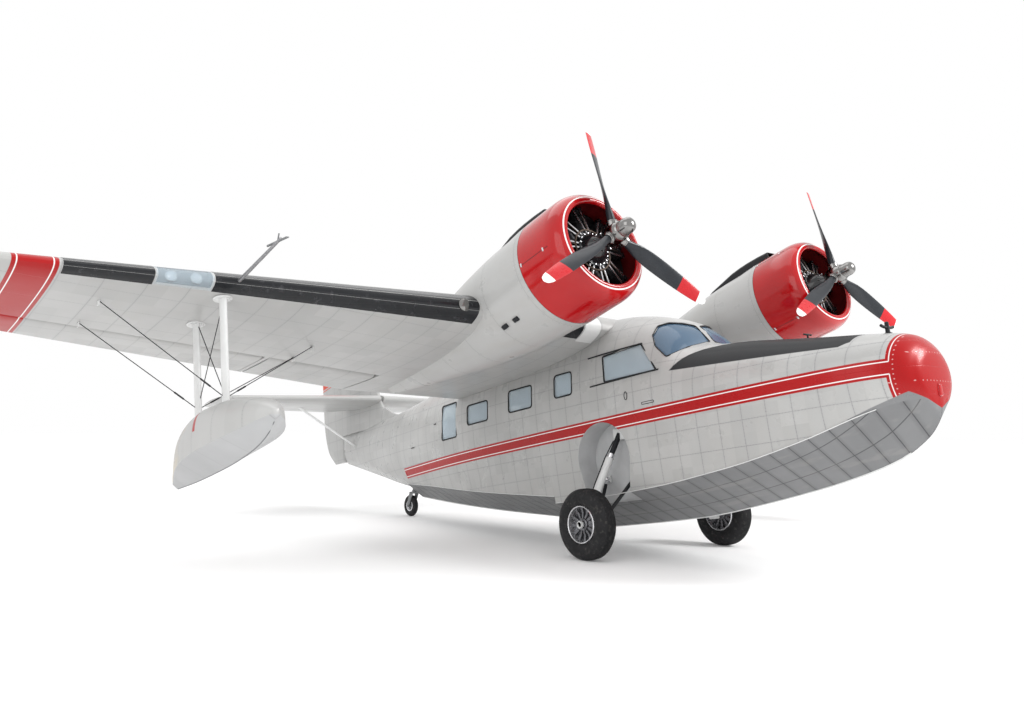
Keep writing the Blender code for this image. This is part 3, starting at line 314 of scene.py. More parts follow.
def tail_finish():
    """Tail skin, with the top of fin and rudder red over a white line."""
    f = Finish("tail skin", SKIN, 0.32, 0.08, 0.2)
    f.shade(f.noise(1.2, 4.0), 0.92, 1.08)
    riveted(f, 0.33, 5.0, 0.36, 1.20, f.y, f.z, 0.22)
    sloping = f.z + f.y * 0.11
    f.paint(sloping.above(3.825), (0.60, 0.045, 0.016))
    f.paint(sloping.within(3.785, 3.800, 0.002), (0.60, 0.045, 0.016))
    return f.done((1.8, 0.006), (3.5, 0.24, 0.46))


def float_finish():
    """Float top, with the yellowed stains that gather round the struts and aft of them."""
    f = Finish("float skin", SKIN, 0.34, 0.05, 0.15)
    f.shade(f.noise(2.0, 4.0), 0.90, 1.08)
    riveted(f, 0.46, 0.16, 3.0, 0.3, f.y, f.z, 0.14)
    aft = f.y.above(0.9, 0.75)
    f.paint((aft * f.noise(5.0, 5.0)).above(0.38, 0.12) * 0.6, (0.50, 0.39, 0.20))
    sway = (f.x.calc("ABSOLUTE") - 5.07).calc("ABSOLUTE")
    f.paint((f.y + sway * 0.9).within(0.80, 0.86).both(f.z.above(1.10)), RED)
    return f.done((3.0, 0.005))


def float_bottom_finish():
    f = Finish("float bottom", (0.43, 0.435, 0.44), 0.42)
    f.shade(f.noise(2.4, 4.0), 0.86, 1.10)
    seams = f.y.from_line(0.52, 0.0).below(0.003, 0.003)
    f.paint(seams * 0.40, (0.20, 0.20, 0.205))
    f.raise_by(seams, -0.001)
    return f.done((3.0, 0.004))


def boot_finish():
    """Black rubber boot on the leading edge, ribbed along the span."""
    f = Finish("leading edge boot", (0.007, 0.008, 0.010), 0.16, 0.0, 0.25)
    f.shade(f.noise(7.0, 4.0), 0.6, 1.6)
    tubes = f.z.from_line(0.035, 0.01).below(0.003, 0.003)
    f.paint(f.noise(16.0, 5.0).above(0.66, 0.05) * 0.25, (0.10, 0.10, 0.11))
    f.raise_by(tubes, -0.0008)
    f.raise_by(f.noise(30.0, 3.0), 0.0006)
    f.roughen(f.noise(9.0), 0.12, 0.30)
    return f.done()


def cowl_finish():
    """Deep glossy red with small chips; the cowl's seams and fasteners are pieces of their own."""
    f = Finish("cowl red", (0.40, 0.002, 0.004), 0.14, 0.0, 0.45)
    f.shade(f.noise(2.5, 4.0), 0.82, 1.18)
    chips = f.noise(38.0, 5.0).above(0.72, 0.03)
    f.paint(chips * 0.25, (0.30, 0.10, 0.09))
    f.raise_by(f.noise(3.0, 2.0), 0.005)
    f.roughen(f.noise(8.0, 5.0), 0.07, 0.26)
    return f.done()


def nacelle_finish():
    """Pale nacelle paint with a few seams across and the stains that run back from the cowl."""
    f = Finish("nacelle skin", SKIN, 0.28, 0.05, 0.3)
    f.shade(f.noise(1.6, 4.0), 0.92, 1.08)
    slant = f.y - f.z * 0.19
    rings = slant.from_line(0.62, -0.62)
    f.paint(rings.below(0.003, 0.002) * 0.5, (0.14, 0.14, 0.145))
    dots = (rings - 0.02).calc("POWER", 2.0) + (f.z + f.x).from_line(0.05).calc("POWER", 2.0)
    f.paint(dots.calc("SQRT").below(0.005, 0.002) * 0.35, SEAM_SHADOW)
    soot = f.noise(3.0, 4.0, (2.4, 0.4, 2.4)).above(0.56, 0.10)
    f.paint(soot * 0.20, (0.36, 0.34, 0.31))
    f.raise_by(rings.below(0.003, 0.002), -0.001)
    return f.done((2.0, 0.005), (4.0, 0.20, 0.42))


def glass_finish(name, colour, cover):
    """Clear or tinted glass: how much of what is behind it the pane covers."""
    finish = Finish(name, colour, 0.04, 0.0, 0.3)
    finish.shader.inputs["Alpha"].default_value = cover
    finish.shader.inputs["IOR"].default_value = 1.45
    finish.shade(finish.noise(2.5), 0.85, 1.15)
    finish.roughen(finish.noise(14.0, 4.0), 0.02, 0.09)
    return finish.done()


def tyre_finish():
    f = Finish("tyre rubber", (0.013, 0.013, 0.014), 0.72)
    f.shade(f.noise(12.0, 5.0), 0.6, 1.9)
    f.paint(f.noise(26.0, 6.0).above(0.62, 0.08) * 0.35, (0.095, 0.088, 0.080))
    return f.done((120.0, 0.0005), (20.0, 0.55, 0.9))


def leather_finish():
    f = Finish("seat leather", (0.16, 0.085, 0.045), 0.5)
    f.shade(f.noise(9.0, 5.0), 0.7, 1.3)
    grain = f.tree.nodes.new("ShaderNodeTexVoronoi")
    grain.inputs["Scale"].default_value = 220.0
    f.tree.links.new(f.place, grain.inputs["Vector"])
    f.raise_by(Tone(f.tree, grain.outputs["Distance"]), 0.0006)
    f.roughen(f.noise(40.0), 0.38, 0.62)
    return f.done()


hull_skin = hull_finish()
hull_bottom = bottom_finish()
well_grey = worn("wheel well grey", (0.50, 0.505, 0.51), 0.5, 0.1, grain=6.0, spread=0.18)
cabin_lining = worn("cabin lining", (0.34, 0.30, 0.19), 0.8, grain=5.0, spread=0.12)
wing_skin = wing_finish()
tail_skin = tail_finish()
float_skin = float_finish()
float_bottom = float_bottom_finish()
boot = boot_finish()
cowl_red = cowl_finish()
# The inside of the cowl is the same red paint made far darker: a painted shade for the hollow behind the lip.
cowl_inside_shade = worn("cowl inside red with painted shade", (0.13, 0.006, 0.007), 0.4, coat=0.2, grain=9.0, spread=0.3)
nacelle_skin = nacelle_finish()
white_line = worn("white paint", WHITE, 0.3, coat=0.3, grain=10.0, spread=0.05)
pale_paint = worn("strut paint", (0.66, 0.665, 0.66), 0.32, coat=0.2, grain=7.0, spread=0.10)
black_trim = worn("black trim", BLACK, 0.42, grain=20.0, spread=0.4)
seal_black = worn("window seal", (0.016, 0.017, 0.018), 0.6, grain=30.0, spread=0.3)
crankcase = worn("crankcase enamel", (0.016, 0.017, 0.019), 0.16, 0.1, 0.7, grain=14.0, spread=0.4)
cylinder_metal = worn("cylinder metal", (0.045, 0.045, 0.048), 0.45, 0.7, grain=30.0, spread=0.4)
bright_steel = worn("bright steel", (0.72, 0.72, 0.74), 0.22, 0.9, grain=25.0, spread=0.12)
chrome = worn("polished hub", (0.25, 0.245, 0.24), 0.12, 1.0, grain=9.0, spread=0.25)
dull_metal = worn("dull metal", (0.30, 0.30, 0.31), 0.42, 0.85, grain=20.0, spread=0.25)
blade_grey = worn("blade grey", (0.018, 0.021, 0.026), 0.34, 0.1, 0.2, grain=8.0, spread=0.3)
blade_red = worn("blade tip red", (0.50, 0.008, 0.014), 0.28, coat=0.3, grain=10.0, spread=0.15)
exhaust_metal = worn("burnt exhaust", (0.10, 0.075, 0.06), 0.5, 0.8, grain=16.0, spread=0.5)
rim_metal = worn("wheel rim", (0.15, 0.15, 0.16), 0.26, 0.8, grain=22.0, spread=0.25)
fork_grey = worn("fork grey", (0.20, 0.205, 0.21), 0.38, 0.4, grain=16.0, spread=0.25)
wire_steel = worn("bracing wire", (0.035, 0.035, 0.038), 0.35, 0.6, grain=40.0, spread=0.2)
windshield_glass = glass_finish("windshield glass", (0.085, 0.145, 0.22), 0.86)
# The cabin panes' pale blue, covering half of what is behind them, is partly a glass tint and partly a painted
# reflection of bright light.
cabin_glass_and_reflection = glass_finish("cabin glass with painted reflection", (0.58, 0.68, 0.75), 0.50)
# Dark tan for the strips behind the upper part of each pane: a painted reflection in the glass.
reflection_tan = worn("window reflection band", (0.20, 0.17, 0.075), 0.8, grain=12.0, spread=0.15)
lamp_glass = glass_finish("lamp glass", (0.70, 0.82, 0.90), 0.25)
tyre_rubber = tyre_finish()
leather = leather_finish()
floor_grey = worn("cabin floor", (0.16, 0.155, 0.15), 0.75, grain=12.0, spread=0.2)
CARVED = (hull_skin, hull_bottom, well_grey, cabin_lining)


# Shapes

def piece(name, bm, finishes, body="airframe", stands_for=(), crease=32.0, matrix=LEVEL):
    """Bring a finished bmesh into the scene as one object that rides on a body."""
    bmesh.ops.transform(bm, matrix=matrix, verts=bm.verts)
    mesh = bpy.data.meshes.new(name)
    bm.to_mesh(mesh)
    bm.free()
    for finish in finishes:
        mesh.materials.append(finish)
    mesh.shade_smooth()
    mesh.set_sharp_from_angle(angle=math.radians(crease))
    obj = bpy.data.objects.new(name, mesh)
    bpy.context.scene.collection.objects.link(obj)
    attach(obj, body)
    if stands_for:
        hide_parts(*stands_for)
    return obj


def angles(count, shift=0.0):
    """Even angles round a full circle."""
    return [math.tau * (i + shift) / count for i in range(count)]


def loft(rings, caps=True):
    """Draw the first closed outline out to each of the others in turn."""
    bm = bmesh.new()
    verts = [bm.verts.new(point) for point in rings[0]]
    edges = [bm.edges.new(pair) for pair in zip(verts, verts[1:] + verts[:1])]
    first = edges
    for ring in rings[1:]:
        made = bmesh.ops.extrude_edge_only(bm, edges=edges)["geom"]
        fresh = {item for item in made if isinstance(item, bmesh.types.BMVert)}
        verts = [next(e.other_vert(vert) for e in vert.link_edges if e.other_vert(vert) in fresh)
                 for vert in verts]
        for vert, point in zip(verts, ring):
            vert.co = point
        edges = [bm.edges.get(pair) for pair in zip(verts, verts[1:] + verts[:1])]
    if caps:
        for border in (first, edges):
            bmesh.ops.edgeloop_fill(bm, edges=border)
    bmesh.ops.recalc_face_normals(bm, faces=bm.faces)
    return bm


def lathe(profile, steps=32, closed=False):
    """Spin a profile of (radius, y) about the Y axis."""
    bm = bmesh.new()
    verts = [bm.verts.new((radius, y, 0.0)) for radius, y in profile]
    edges = [bm.edges.new(pair) for pair in zip(verts, verts[1:])]
    if closed:
        edges.append(bm.edges.new((verts[-1], verts[0])))
    bmesh.ops.spin(bm, geom=verts + edges, axis=(0, 1, 0), cent=(0, 0, 0), steps=steps, angle=math.tau,
                   use_merge=True)
    bmesh.ops.remove_doubles(bm, verts=bm.verts, dist=1e-5)
    bmesh.ops.recalc_face_normals(bm, faces=bm.faces)
    return bm


def bar(start, end, radius, segments=12, end_radius=None):
    bm = bmesh.new()
    start, end = Vector(start), Vector(end)
    turn = (end - start).to_track_quat("Z", "Y").to_matrix().to_4x4()
    bmesh.ops.create_cone(bm, cap_ends=True, segments=segments, radius1=radius,
                          radius2=radius if end_radius is None else end_radius,
                          depth=(end - start).length, matrix=Matrix.Translation((start + end) / 2) @ turn)
    return bm


def eased_edges(bm, edge, segments):
    bmesh.ops.bevel(bm, geom=bm.edges[:], offset=edge, segments=segments, affect="EDGES", profile=0.5,
                    material=-1)
    return bm


def block(low, high, edge=0.004, segments=2):
    """A block with rounded edges."""
    bm = bmesh.new()
    low, high = Vector(low), Vector(high)
    bmesh.ops.create_cube(bm, size=1.0, matrix=Matrix.Translation((low + high) / 2)
                          @ Matrix.Diagonal((*(high - low), 1.0)))
    return eased_edges(bm, edge, segments) if edge else bm


def ball(centre, radius, segments=16):
    bm = bmesh.new()
    bmesh.ops.create_uvsphere(bm, u_segments=segments, v_segments=segments // 2, radius=radius,
                              matrix=Matrix.Translation(centre))
    return bm


def pipe(points, radius, segments=10, closed=False, flat=1.0, up=(0, 0, 1)):
    """A round or flattened bar swept along a path."""
    points = [Vector(p) for p in points]
    rings = []
    count = len(points)
    for index, point in enumerate(points):
        after = points[(index + 1) % count] if closed or index + 1 < count else point
        before = points[index - 1] if closed or index else point
        ahead = (after - before).normalized()
        side = ahead.cross(Vector(up))
        side = side.normalized() if side.length > 1e-4 else Vector((1, 0, 0))
        top = side.cross(ahead).normalized()
        rings.append([point + side * radius * math.cos(angle) + top * radius * flat * math.sin(angle)
                      for angle in angles(segments, 0.5)])
    if not closed:
        return loft(rings)
    bm = loft(rings + rings[:1], caps=False)
    bmesh.ops.remove_doubles(bm, verts=bm.verts, dist=1e-6)
    bmesh.ops.recalc_face_normals(bm, faces=bm.faces)
    return bm


def side_block(side, low, high, *shape):
    """A block whose place is given for the port side."""
    near, far = sorted((side * low[0], side * high[0]))
    return block((near, *low[1:]), (far, *high[1:]), *shape)


def spun(share):
    """A turn about the Y axis by a share of a full circle."""
    return Matrix.Rotation(math.tau * share, 4, "Y")


def moved(bm, matrix):
    bmesh.ops.transform(bm, matrix=matrix, verts=bm.verts)
    return bm


def group(*shapes):
    """Put several bmeshes together, each with the finish number that comes with it."""
    whole = bmesh.new()
    for shape in shapes:
        bm, index = shape if isinstance(shape, tuple) else (shape, None)
        if index is not None:
            for face in bm.faces:
                face.material_index = index
        mesh = bpy.data.meshes.new("shape")
        bm.to_mesh(mesh)
        bm.free()
        whole.from_mesh(mesh)
        bpy.data.meshes.remove(mesh)
    return whole


def carved(bm, *cutters, operation="DIFFERENCE"):
    """Cut closed shapes out of a closed shape, one after another."""
    objects = []
    for shape in (bm, *cutters):
        mesh = bpy.data.meshes.new("shape")
        shape.to_mesh(mesh)
        shape.free()
        for finish in CARVED:
            mesh.materials.append(finish)
        obj = bpy.data.objects.new("shape", mesh)
        bpy.context.scene.collection.objects.link(obj)
        objects.append(obj)
    for cutter in objects[1:]:
        modifier = objects[0].modifiers.new("cut", "BOOLEAN")
        modifier.operation = operation
        modifier.solver = "EXACT"
        modifier.object = cutter
    bpy.context.view_layer.update()
    result = bpy.data.meshes.new_from_object(objects[0].evaluated_get(bpy.context.evaluated_depsgraph_get()))
    whole = bmesh.new()
    whole.from_mesh(result)
    for obj in objects:
        mesh = obj.data
        bpy.data.objects.remove(obj)
        bpy.data.meshes.remove(mesh)
    bpy.data.meshes.remove(result)
    return whole


def finish_faces(bm, rule):
    for face in bm.faces:
        face.material_index = rule(face.calc_center_median())
    return bm


def eased(table, value):
    """Read a table at a value along its first column, on a smooth curve through its rows."""
    last = len(table) - 1
    if value <= table[0][0]:
        return table[0]
    if value >= table[last][0]:
        return table[last]
    index = max(i for i in range(last) if table[i][0] <= value)
    here, there = table[index], table[index + 1]
    before, after = table[max(index - 1, 0)], table[min(index + 2, last)]
    span = there[0] - here[0]
    t = (value - here[0]) / span
    row = [value]
    for column in range(1, len(here)):
        a, b = here[column], there[column]
        rise = (b - a) / span
        slope_a = (b - before[column]) / (there[0] - before[0]) if index else rise
        slope_b = (after[column] - a) / (after[0] - here[0]) if index + 2 <= last else rise
        low, high = sorted((0.0, 3.0 * rise))
        slope_a = min(max(slope_a, low), high)
        slope_b = min(max(slope_b, low), high)
        row.append((2 * t ** 3 - 3 * t * t + 1) * a + (t ** 3 - 2 * t * t + t) * span * slope_a
                   + (3 * t * t - 2 * t ** 3) * b + (t ** 3 - t * t) * span * slope_b)
    return tuple(row)


def spaced(stops, step):
    """Every stop, with even steps between them."""
    values = []
    for near, far in zip(stops, stops[1:]):
        count = max(1, round((far - near) / step))
        values += [near + (far - near) * i / count for i in range(count)]
    return values + [stops[-1]]


# The hull

# Columns: y, keel z, chine z, chine half width, waist z, waist half width, crown z, roundness
HULL = (
    (-3.62, 0.76, 0.84, 0.10, 1.02, 0.16, 1.22, 2.0),
    (-3.57, 0.64, 0.84, 0.24, 1.06, 0.34, 1.36, 2.0),
    (-3.44, 0.50, 0.83, 0.38, 1.08, 0.48, 1.48, 2.1),
    (-3.15, 0.34, 0.76, 0.54, 1.12, 0.62, 1.545, 2.2),
    (-2.60, 0.20, 0.60, 0.68, 1.16, 0.72, 1.63, 2.3),
    (-1.90, 0.09, 0.46, 0.75, 1.18, 0.78, 1.75, 2.4),
    (-1.14, 0.00, 0.37, 0.77, 1.22, 0.81, 1.88, 2.5),
    (-0.97, -0.015, 0.355, 0.77, 1.25, 0.815, 2.08, 2.5),
    (-0.78, -0.03, 0.34, 0.77, 1.28, 0.82, 2.22, 2.6),
    (-0.40, -0.04, 0.32, 0.77, 1.32, 0.82, 2.36, 2.7),
    (0.10, -0.045, 0.30, 0.77, 1.36, 0.82, 2.43, 2.8),
    (0.95, -0.045, 0.29, 0.77, 1.36, 0.82, 2.38, 2.8),
    (0.96, 0.04, 0.37, 0.765, 1.36, 0.82, 2.38, 2.8),
    (2.20, 0.21, 0.52, 0.70, 1.38, 0.78, 2.36, 2.7),
    (3.10, 0.34, 0.64, 0.60, 1.40, 0.71, 2.35, 2.5),
    (4.00, 0.49, 0.77, 0.45, 1.42, 0.58, 2.25, 2.3),
    (5.00, 0.68, 0.90, 0.28, 1.46, 0.42, 2.13, 2.2),
)
TAIL = (
    (5.00, 0.82, 0.93, 0.26, 1.46, 0.42, 2.13, 2.2),
    (5.50, 0.92, 1.06, 0.20, 1.50, 0.34, 2.08, 2.1),
    (6.30, 1.16, 1.28, 0.13, 1.62, 0.22, 2.04, 2.0),
    (7.34, 1.47, 1.55, 0.05, 1.79, 0.075, 2.02, 2.0),
)
CEILING = ((-1.20, 1.76), (-0.90, 2.08), (-0.60, 2.20), (-0.22, 2.14), (-0.05, 1.86), (2.95, 1.855),
           (3.15, 2.00), (4.00, 2.00))
# Columns: front y, back y, lower z, upper z
CABIN_WINDOWS = ((0.43, 0.74, 1.545, 1.815), (1.19, 1.67, 1.51, 1.785), (2.15, 2.65, 1.49, 1.75))
TALL_WINDOW = (2.97, 3.39, 1.375, 1.86)
DOOR_WINDOW = (3.16, 3.50, 1.39, 1.88)
DOOR = (3.02, 3.64, 0.78, 1.93)
# Outlines: (y, z) of the sliding side window, and (x, z) of half the windshield seen from ahead
SIDE_WINDOW = ((-0.91, 1.59), (-0.14, 1.59), (-0.11, 1.885), (-0.66, 1.93))
WINDSHIELD = ((0.045, 1.91), (0.47, 1.815), (0.71, 1.72), (0.69, 1.87), (0.62, 2.01), (0.49, 2.13),
              (0.36, 2.165), (0.19, 2.155), (0.045, 2.13))
# The step in the planing bottom, the skin and floor of the cabin, and the heights of the door's hinges
STEP_Y = 0.955
FOREBODY = [row for row in HULL if row[0] < STEP_Y]
AFTERBODY = [row for row in HULL if row[0] > STEP_Y]
WALL = 0.035
FLOOR_Z = 0.62
HINGE_HEIGHTS = (1.02, 1.70)


def hull_row(y):
    return eased(FOREBODY if y < STEP_Y else AFTERBODY, y)


def grown(outline, grow):
    """Move a closed outline outwards, or inwards with a negative distance."""
    area = sum(a[0] * b[1] - b[0] * a[1] for a, b in zip(outline, outline[1:] + outline[:1]))
    sign = 1.0 if area > 0 else -1.0
    result = []
    for i, point in enumerate(outline):
        before = Vector(point) - Vector(outline[i - 1])
        after = Vector(outline[(i + 1) % len(outline)]) - Vector(point)
        first = Vector((before.y, -before.x)).normalized() * sign
        second = Vector((after.y, -after.x)).normalized() * sign
        normal = (first + second).normalized()
        reach = grow / max(normal.dot(first), 0.5)
        result.append((point[0] + normal.x * reach, point[1] + normal.y * reach))
    return result


def rounded(outline, radius):
    """Round off the corners of a closed outline."""
    steps = 5
    result = []
    for i, point in enumerate(outline):
        corner = Vector(point)
        before = Vector(outline[i - 1]) - corner
        after = Vector(outline[(i + 1) % len(outline)]) - corner
        reach = min(radius, 0.45 * before.length, 0.45 * after.length)
        start, end = corner + before.normalized() * reach, corner + after.normalized() * reach
        for step in range(steps + 1):
            t = step / steps
            result.append(tuple(start * (1 - t) ** 2 + corner * 2 * t * (1 - t) + end * t * t))
    return result


def rectangle(front, back, low, high):
    return [(front, low), (back, low), (back, high), (front, high)]


def section(row, inset=0.0):
    """Closed ring of (x, z) from the keel up the port side, over the crown and down again."""
    _, keel, chine, chine_w, waist, waist_w, crown, roundness = row
    half = [(chine_w * i / 6, keel + (chine - keel) * i / 6) for i in range(7)]
    for i in range(1, 8):
        t = i / 7
        half.append((chine_w + (waist_w - chine_w) * (1 - (1 - t) ** 2), chine + (waist - chine) * t))
    power = 2 / roundness
    for i in range(1, 16):
        angle = math.pi / 2 * i / 16
        half.append((waist_w * math.cos(angle) ** power, waist + (crown - waist) * math.sin(angle) ** power))
    half.append((0.0, crown))
    ring = half + [(-x, z) for x, z in half[-2:0:-1]]
    return grown(ring, -inset) if inset else ring


def skin_x(y, z):
    """Half width of the hull's skin at a height."""
    chine, chine_w, waist, waist_w, crown, roundness = hull_row(y)[2:]
    if z >= waist:
        share = min((z - waist) / (crown - waist), 1.0)
        return waist_w * (1 - share ** roundness) ** (1 / roundness)
    t = min(max((z - chine) / (waist - chine), 0.0), 1.0)
    return chine_w + (waist_w - chine_w) * (1 - (1 - t) ** 2)


def skin_y(x, z):
    """Where the front of the cockpit crosses a point seen from ahead."""
    near, far = -1.6, -0.3
    for _ in range(30):
        middle = (near + far) / 2
        row = hull_row(middle)
        if z < row[6] and skin_x(middle, z) > x:
            far = middle
        else:
            near = middle
    return far


def hull_rings(ys, inset=0.0):
    return [[(x, y, z) for x, z in section(hull_row(y), inset)] for y in ys]


def prism(outline, near, far):
    """Draw an outline of (y, z) from one x to another."""
    return loft([[(near, y, z) for y, z in outline], [(far, y, z) for y, z in outline]])


def tinted(bm, index):
    return finish_faces(bm, lambda centre: index)


def well_shape(side, margin=0.0):
    """The round wheel well with its open lower edge, in one hull side."""
    y, z, radius, half, foot, depth = 0.02, 0.72, 0.42 + margin, 0.32 + margin, 0.22 - margin, 0.52 - margin
    outline = []
    for step in range(23):
        angle = math.radians(-20 + 10 * step)
        outline.append((y + radius * math.cos(angle), z + radius * math.sin(angle)))
    outline += [(y - half, foot), (y + half, foot)]
    return prism(outline, side * depth, side)


def windshield_prism(side, grow=0.0):
    outline = rounded(grown(list(WINDSHIELD), grow), 0.02)
    return loft([[(side * x, y, z) for x, z in outline] for y in (-1.32, -0.62)])


def openings(side, grow=0.0):
    """All side windows of one hull side, and the door on the port side."""
    shapes = [prism(rounded(grown(list(SIDE_WINDOW), grow), 0.025), side * 0.45, side)]
    for window in CABIN_WINDOWS:
        shapes.append(prism(rounded(grown(rectangle(*window), grow), 0.05), side * 0.5, side))
    if side < 0:
        shapes.append(prism(rounded(grown(rectangle(*TALL_WINDOW), grow), 0.035), -0.4, -1))
    elif not grow:
        shapes.append(prism(rounded(rectangle(*DOOR), 0.05), 0.35, 1))
    return shapes


def make_hull():
    row = hull_row(-3.58)
    middle = (row[1] + row[6]) / 2
    rings = []
    # The stem closes in a small dome
    for degrees in (10, 28, 48, 70):
        share = math.sin(math.radians(degrees))
        y = -3.58 - 0.04 * math.cos(math.radians(degrees))
        rings.append([(x * share, y, middle + (z - middle) * share) for x, z in section(row)])
    stretches = ((-3.58, -3.44, 0.02), (-3.44, -3.15, 0.04), (-3.15, -1.30, 0.12), (-1.30, -0.60, 0.04))
    ys = [y for start, end, step in stretches for y in spaced((start, end), step)[:-1]]
    rings += hull_rings(ys + spaced((-0.60, 0.95), 0.11)) + hull_rings(spaced((0.96, 5.0), 0.13))
    shell = loft(rings)
    finish_faces(shell, lambda c: 1 if c.z < hull_row(c.y)[2] - 0.002 else 0)
    rings = []
    for y in spaced((-1.02, -0.6, -0.22, -0.05, 2.95, 3.15, 3.85), 0.1):
        low, high = max(row for row in CEILING if row[0] <= y), min(row for row in CEILING if row[0] > y)
        top = low[1] + (high[1] - low[1]) * (y - low[0]) / (high[0] - low[0])
        rings.append([(x, y, min(max(z, FLOOR_Z), top)) for x, z in section(hull_row(y), WALL)])
    hollow = carved(tinted(loft(rings), 3), *(tinted(well_shape(side, 0.03), 3) for side, _ in SIDES))
    wells = [tinted(well_shape(side), 2) for side, _ in SIDES]
    holes = [group(*openings(side)) for side, _ in SIDES]
    panes = [windshield_prism(side) for side, _ in SIDES]
    whole = carved(shell, hollow, *wells, *holes, *panes)
    piece("hull_shell", whole, CARVED, stands_for=("hull",))


def upper_part(shapes, drop):
    """Keep the top of each window's outline, down to a line that falls slightly towards the tail."""
    outline = [(-1.2, 1.82 - drop), (3.9, 1.64 - drop), (3.9, 2.1), (-1.2, 2.1)]
    return carved(group(*shapes), prism(outline, -1, 1), operation="INTERSECT")


def make_panes():
    """Thin panes that follow the skin a little way inside their openings, with dark tan strips behind their
    upper parts that paint a reflection in the glass.
    """
    ys = spaced((-1.30, -0.60), 0.04)[:-1] + spaced((-0.60, 3.9), 0.15)

    def sheet(depth, limits):
        outer, inner = loft(hull_rings(ys, depth)), loft(hull_rings(ys, depth + 0.005))
        return tinted(carved(carved(outer, limits, operation="INTERSECT"), inner), 0)

    door_window = prism(rounded(grown(rectangle(*DOOR_WINDOW), 0.012), 0.05), 0.4, 1)
    fixed = ("cockpit_glazing_starboard", "cockpit_glazing_port", "cabin_glazing_starboard",
             "cabin_glazing_port", "tall_glazing")
    for name, body, shapes, stands, glass in (
            ("windshield", "airframe", [windshield_prism(side, 0.015) for side, _ in SIDES], ("windshield",),
             windshield_glass),
            ("windows", "airframe", openings(-1, 0.015) + openings(1, 0.015), fixed, cabin_glass_and_reflection),
            ("door", "cabin_door", [door_window], ("door_glazing",), cabin_glass_and_reflection)):
        piece(name + "_panes", sheet(0.012, group(*shapes)), (glass,), body, stands)
    # Dark tan strips behind the top of each side and cabin window paint a reflection in the glass.
    tops = upper_part(openings(-1, 0.02) + openings(1, 0.02), 0.01)
    piece("window_reflection_bands", sheet(0.020, tops), (reflection_tan,))


def on_side(side, path, out):
    """Points of (y, z) laid on the skin of one side."""
    return [(side * (skin_x(y, z) + out), y, z) for y, z in path]


def bead(side, outline, corner, radius):
    """A closed seal round an opening of one side."""
    return pipe(on_side(side, rounded(outline, corner), 0.001), radius, 8, True, 0.6, (1, 0, 0))


def window_frames():
    """Thin black seals round the windows, the windshield's frame and the rails of the sliding windows."""
    frames, seals = [], []
    for side, _ in SIDES:
        for window in CABIN_WINDOWS + ((TALL_WINDOW,) if side < 0 else ()):
            corner = 0.035 if window is TALL_WINDOW else 0.05
            seals.append(bead(side, grown(rectangle(*window), 0.004), corner, 0.010))
        frames.append(bead(side, grown(list(SIDE_WINDOW), 0.006), 0.025, 0.011))
        for start, end in (((-0.68, 1.935), (0.135, 1.915)), ((-0.95, 1.585), (0.10, 1.57))):
            path = [tuple(Vector(start).lerp(Vector(end), i / 10)) for i in range(11)]
            frames.append(pipe(on_side(side, path, 0.004), 0.009, 8, False, 0.9, (1, 0, 0)))
        path = rounded(grown(list(WINDSHIELD), 0.003), 0.02)
        path = [(side * x, skin_y(x, z) - 0.002, z) for x, z in path]
        frames.append(pipe(path, 0.009, 8, True, 0.7, (0, 1, 0)))
    piece("window_seals", group(*seals), (seal_black,), crease=50)
    piece("cockpit_frames", group(*frames), (black_trim,), crease=50)
    seal = bead(1, grown(rectangle(*DOOR_WINDOW), 0.004), 0.05, 0.010)
    piece("door_window_seal", seal, (seal_black,), "cabin_door", crease=50)


def make_door():
    """The port door follows the skin, with a handle, hinges and its window."""
    ys = spaced((2.4, 4.3), 0.1)
    outer, inner = loft(hull_rings(ys)), loft(hull_rings(ys, WALL))
    limit = prism(rounded(grown(rectangle(*DOOR), -0.006), 0.05), 0.36, 1)
    bm = carved(carved(outer, limit, operation="INTERSECT"), inner,
                prism(rounded(rectangle(*DOOR_WINDOW), 0.05), 0.3, 1))
    piece("door_skin", bm, CARVED, "cabin_door", ("cabin_door",))
    shapes = []
    for z in HINGE_HEIGHTS:
        shapes.append(block((skin_x(3.08, z) - 0.02, 3.006, z - 0.043), (0.752, 3.078, z - 0.016), 0.004))
        shapes.append(block((skin_x(3.08, z) - 0.02, 3.006, z + 0.016), (0.752, 3.078, z + 0.043), 0.004))
    grip = skin_x(3.55, 1.2) + 0.02
    shapes.append(pipe([(grip - 0.03, 3.56, 1.24), (grip, 3.56, 1.235), (grip + 0.004, 3.56, 1.20),
                        (grip, 3.56, 1.165), (grip - 0.03, 3.56, 1.16)], 0.007))
    piece("door_fittings", group(*shapes), (bright_steel,), "cabin_door")
    shapes = []
    for z in HINGE_HEIGHTS:
        shapes.append(block((skin_x(2.95, z) - 0.02, 2.95, z - 0.006), (0.752, 3.028, z + 0.006), 0.002))
        shapes.append(bar((0.7422, 3.018, z - 0.034), (0.7422, 3.018, z + 0.034), 0.0075))
    piece("door_hinges", group(*shapes), (bright_steel,))


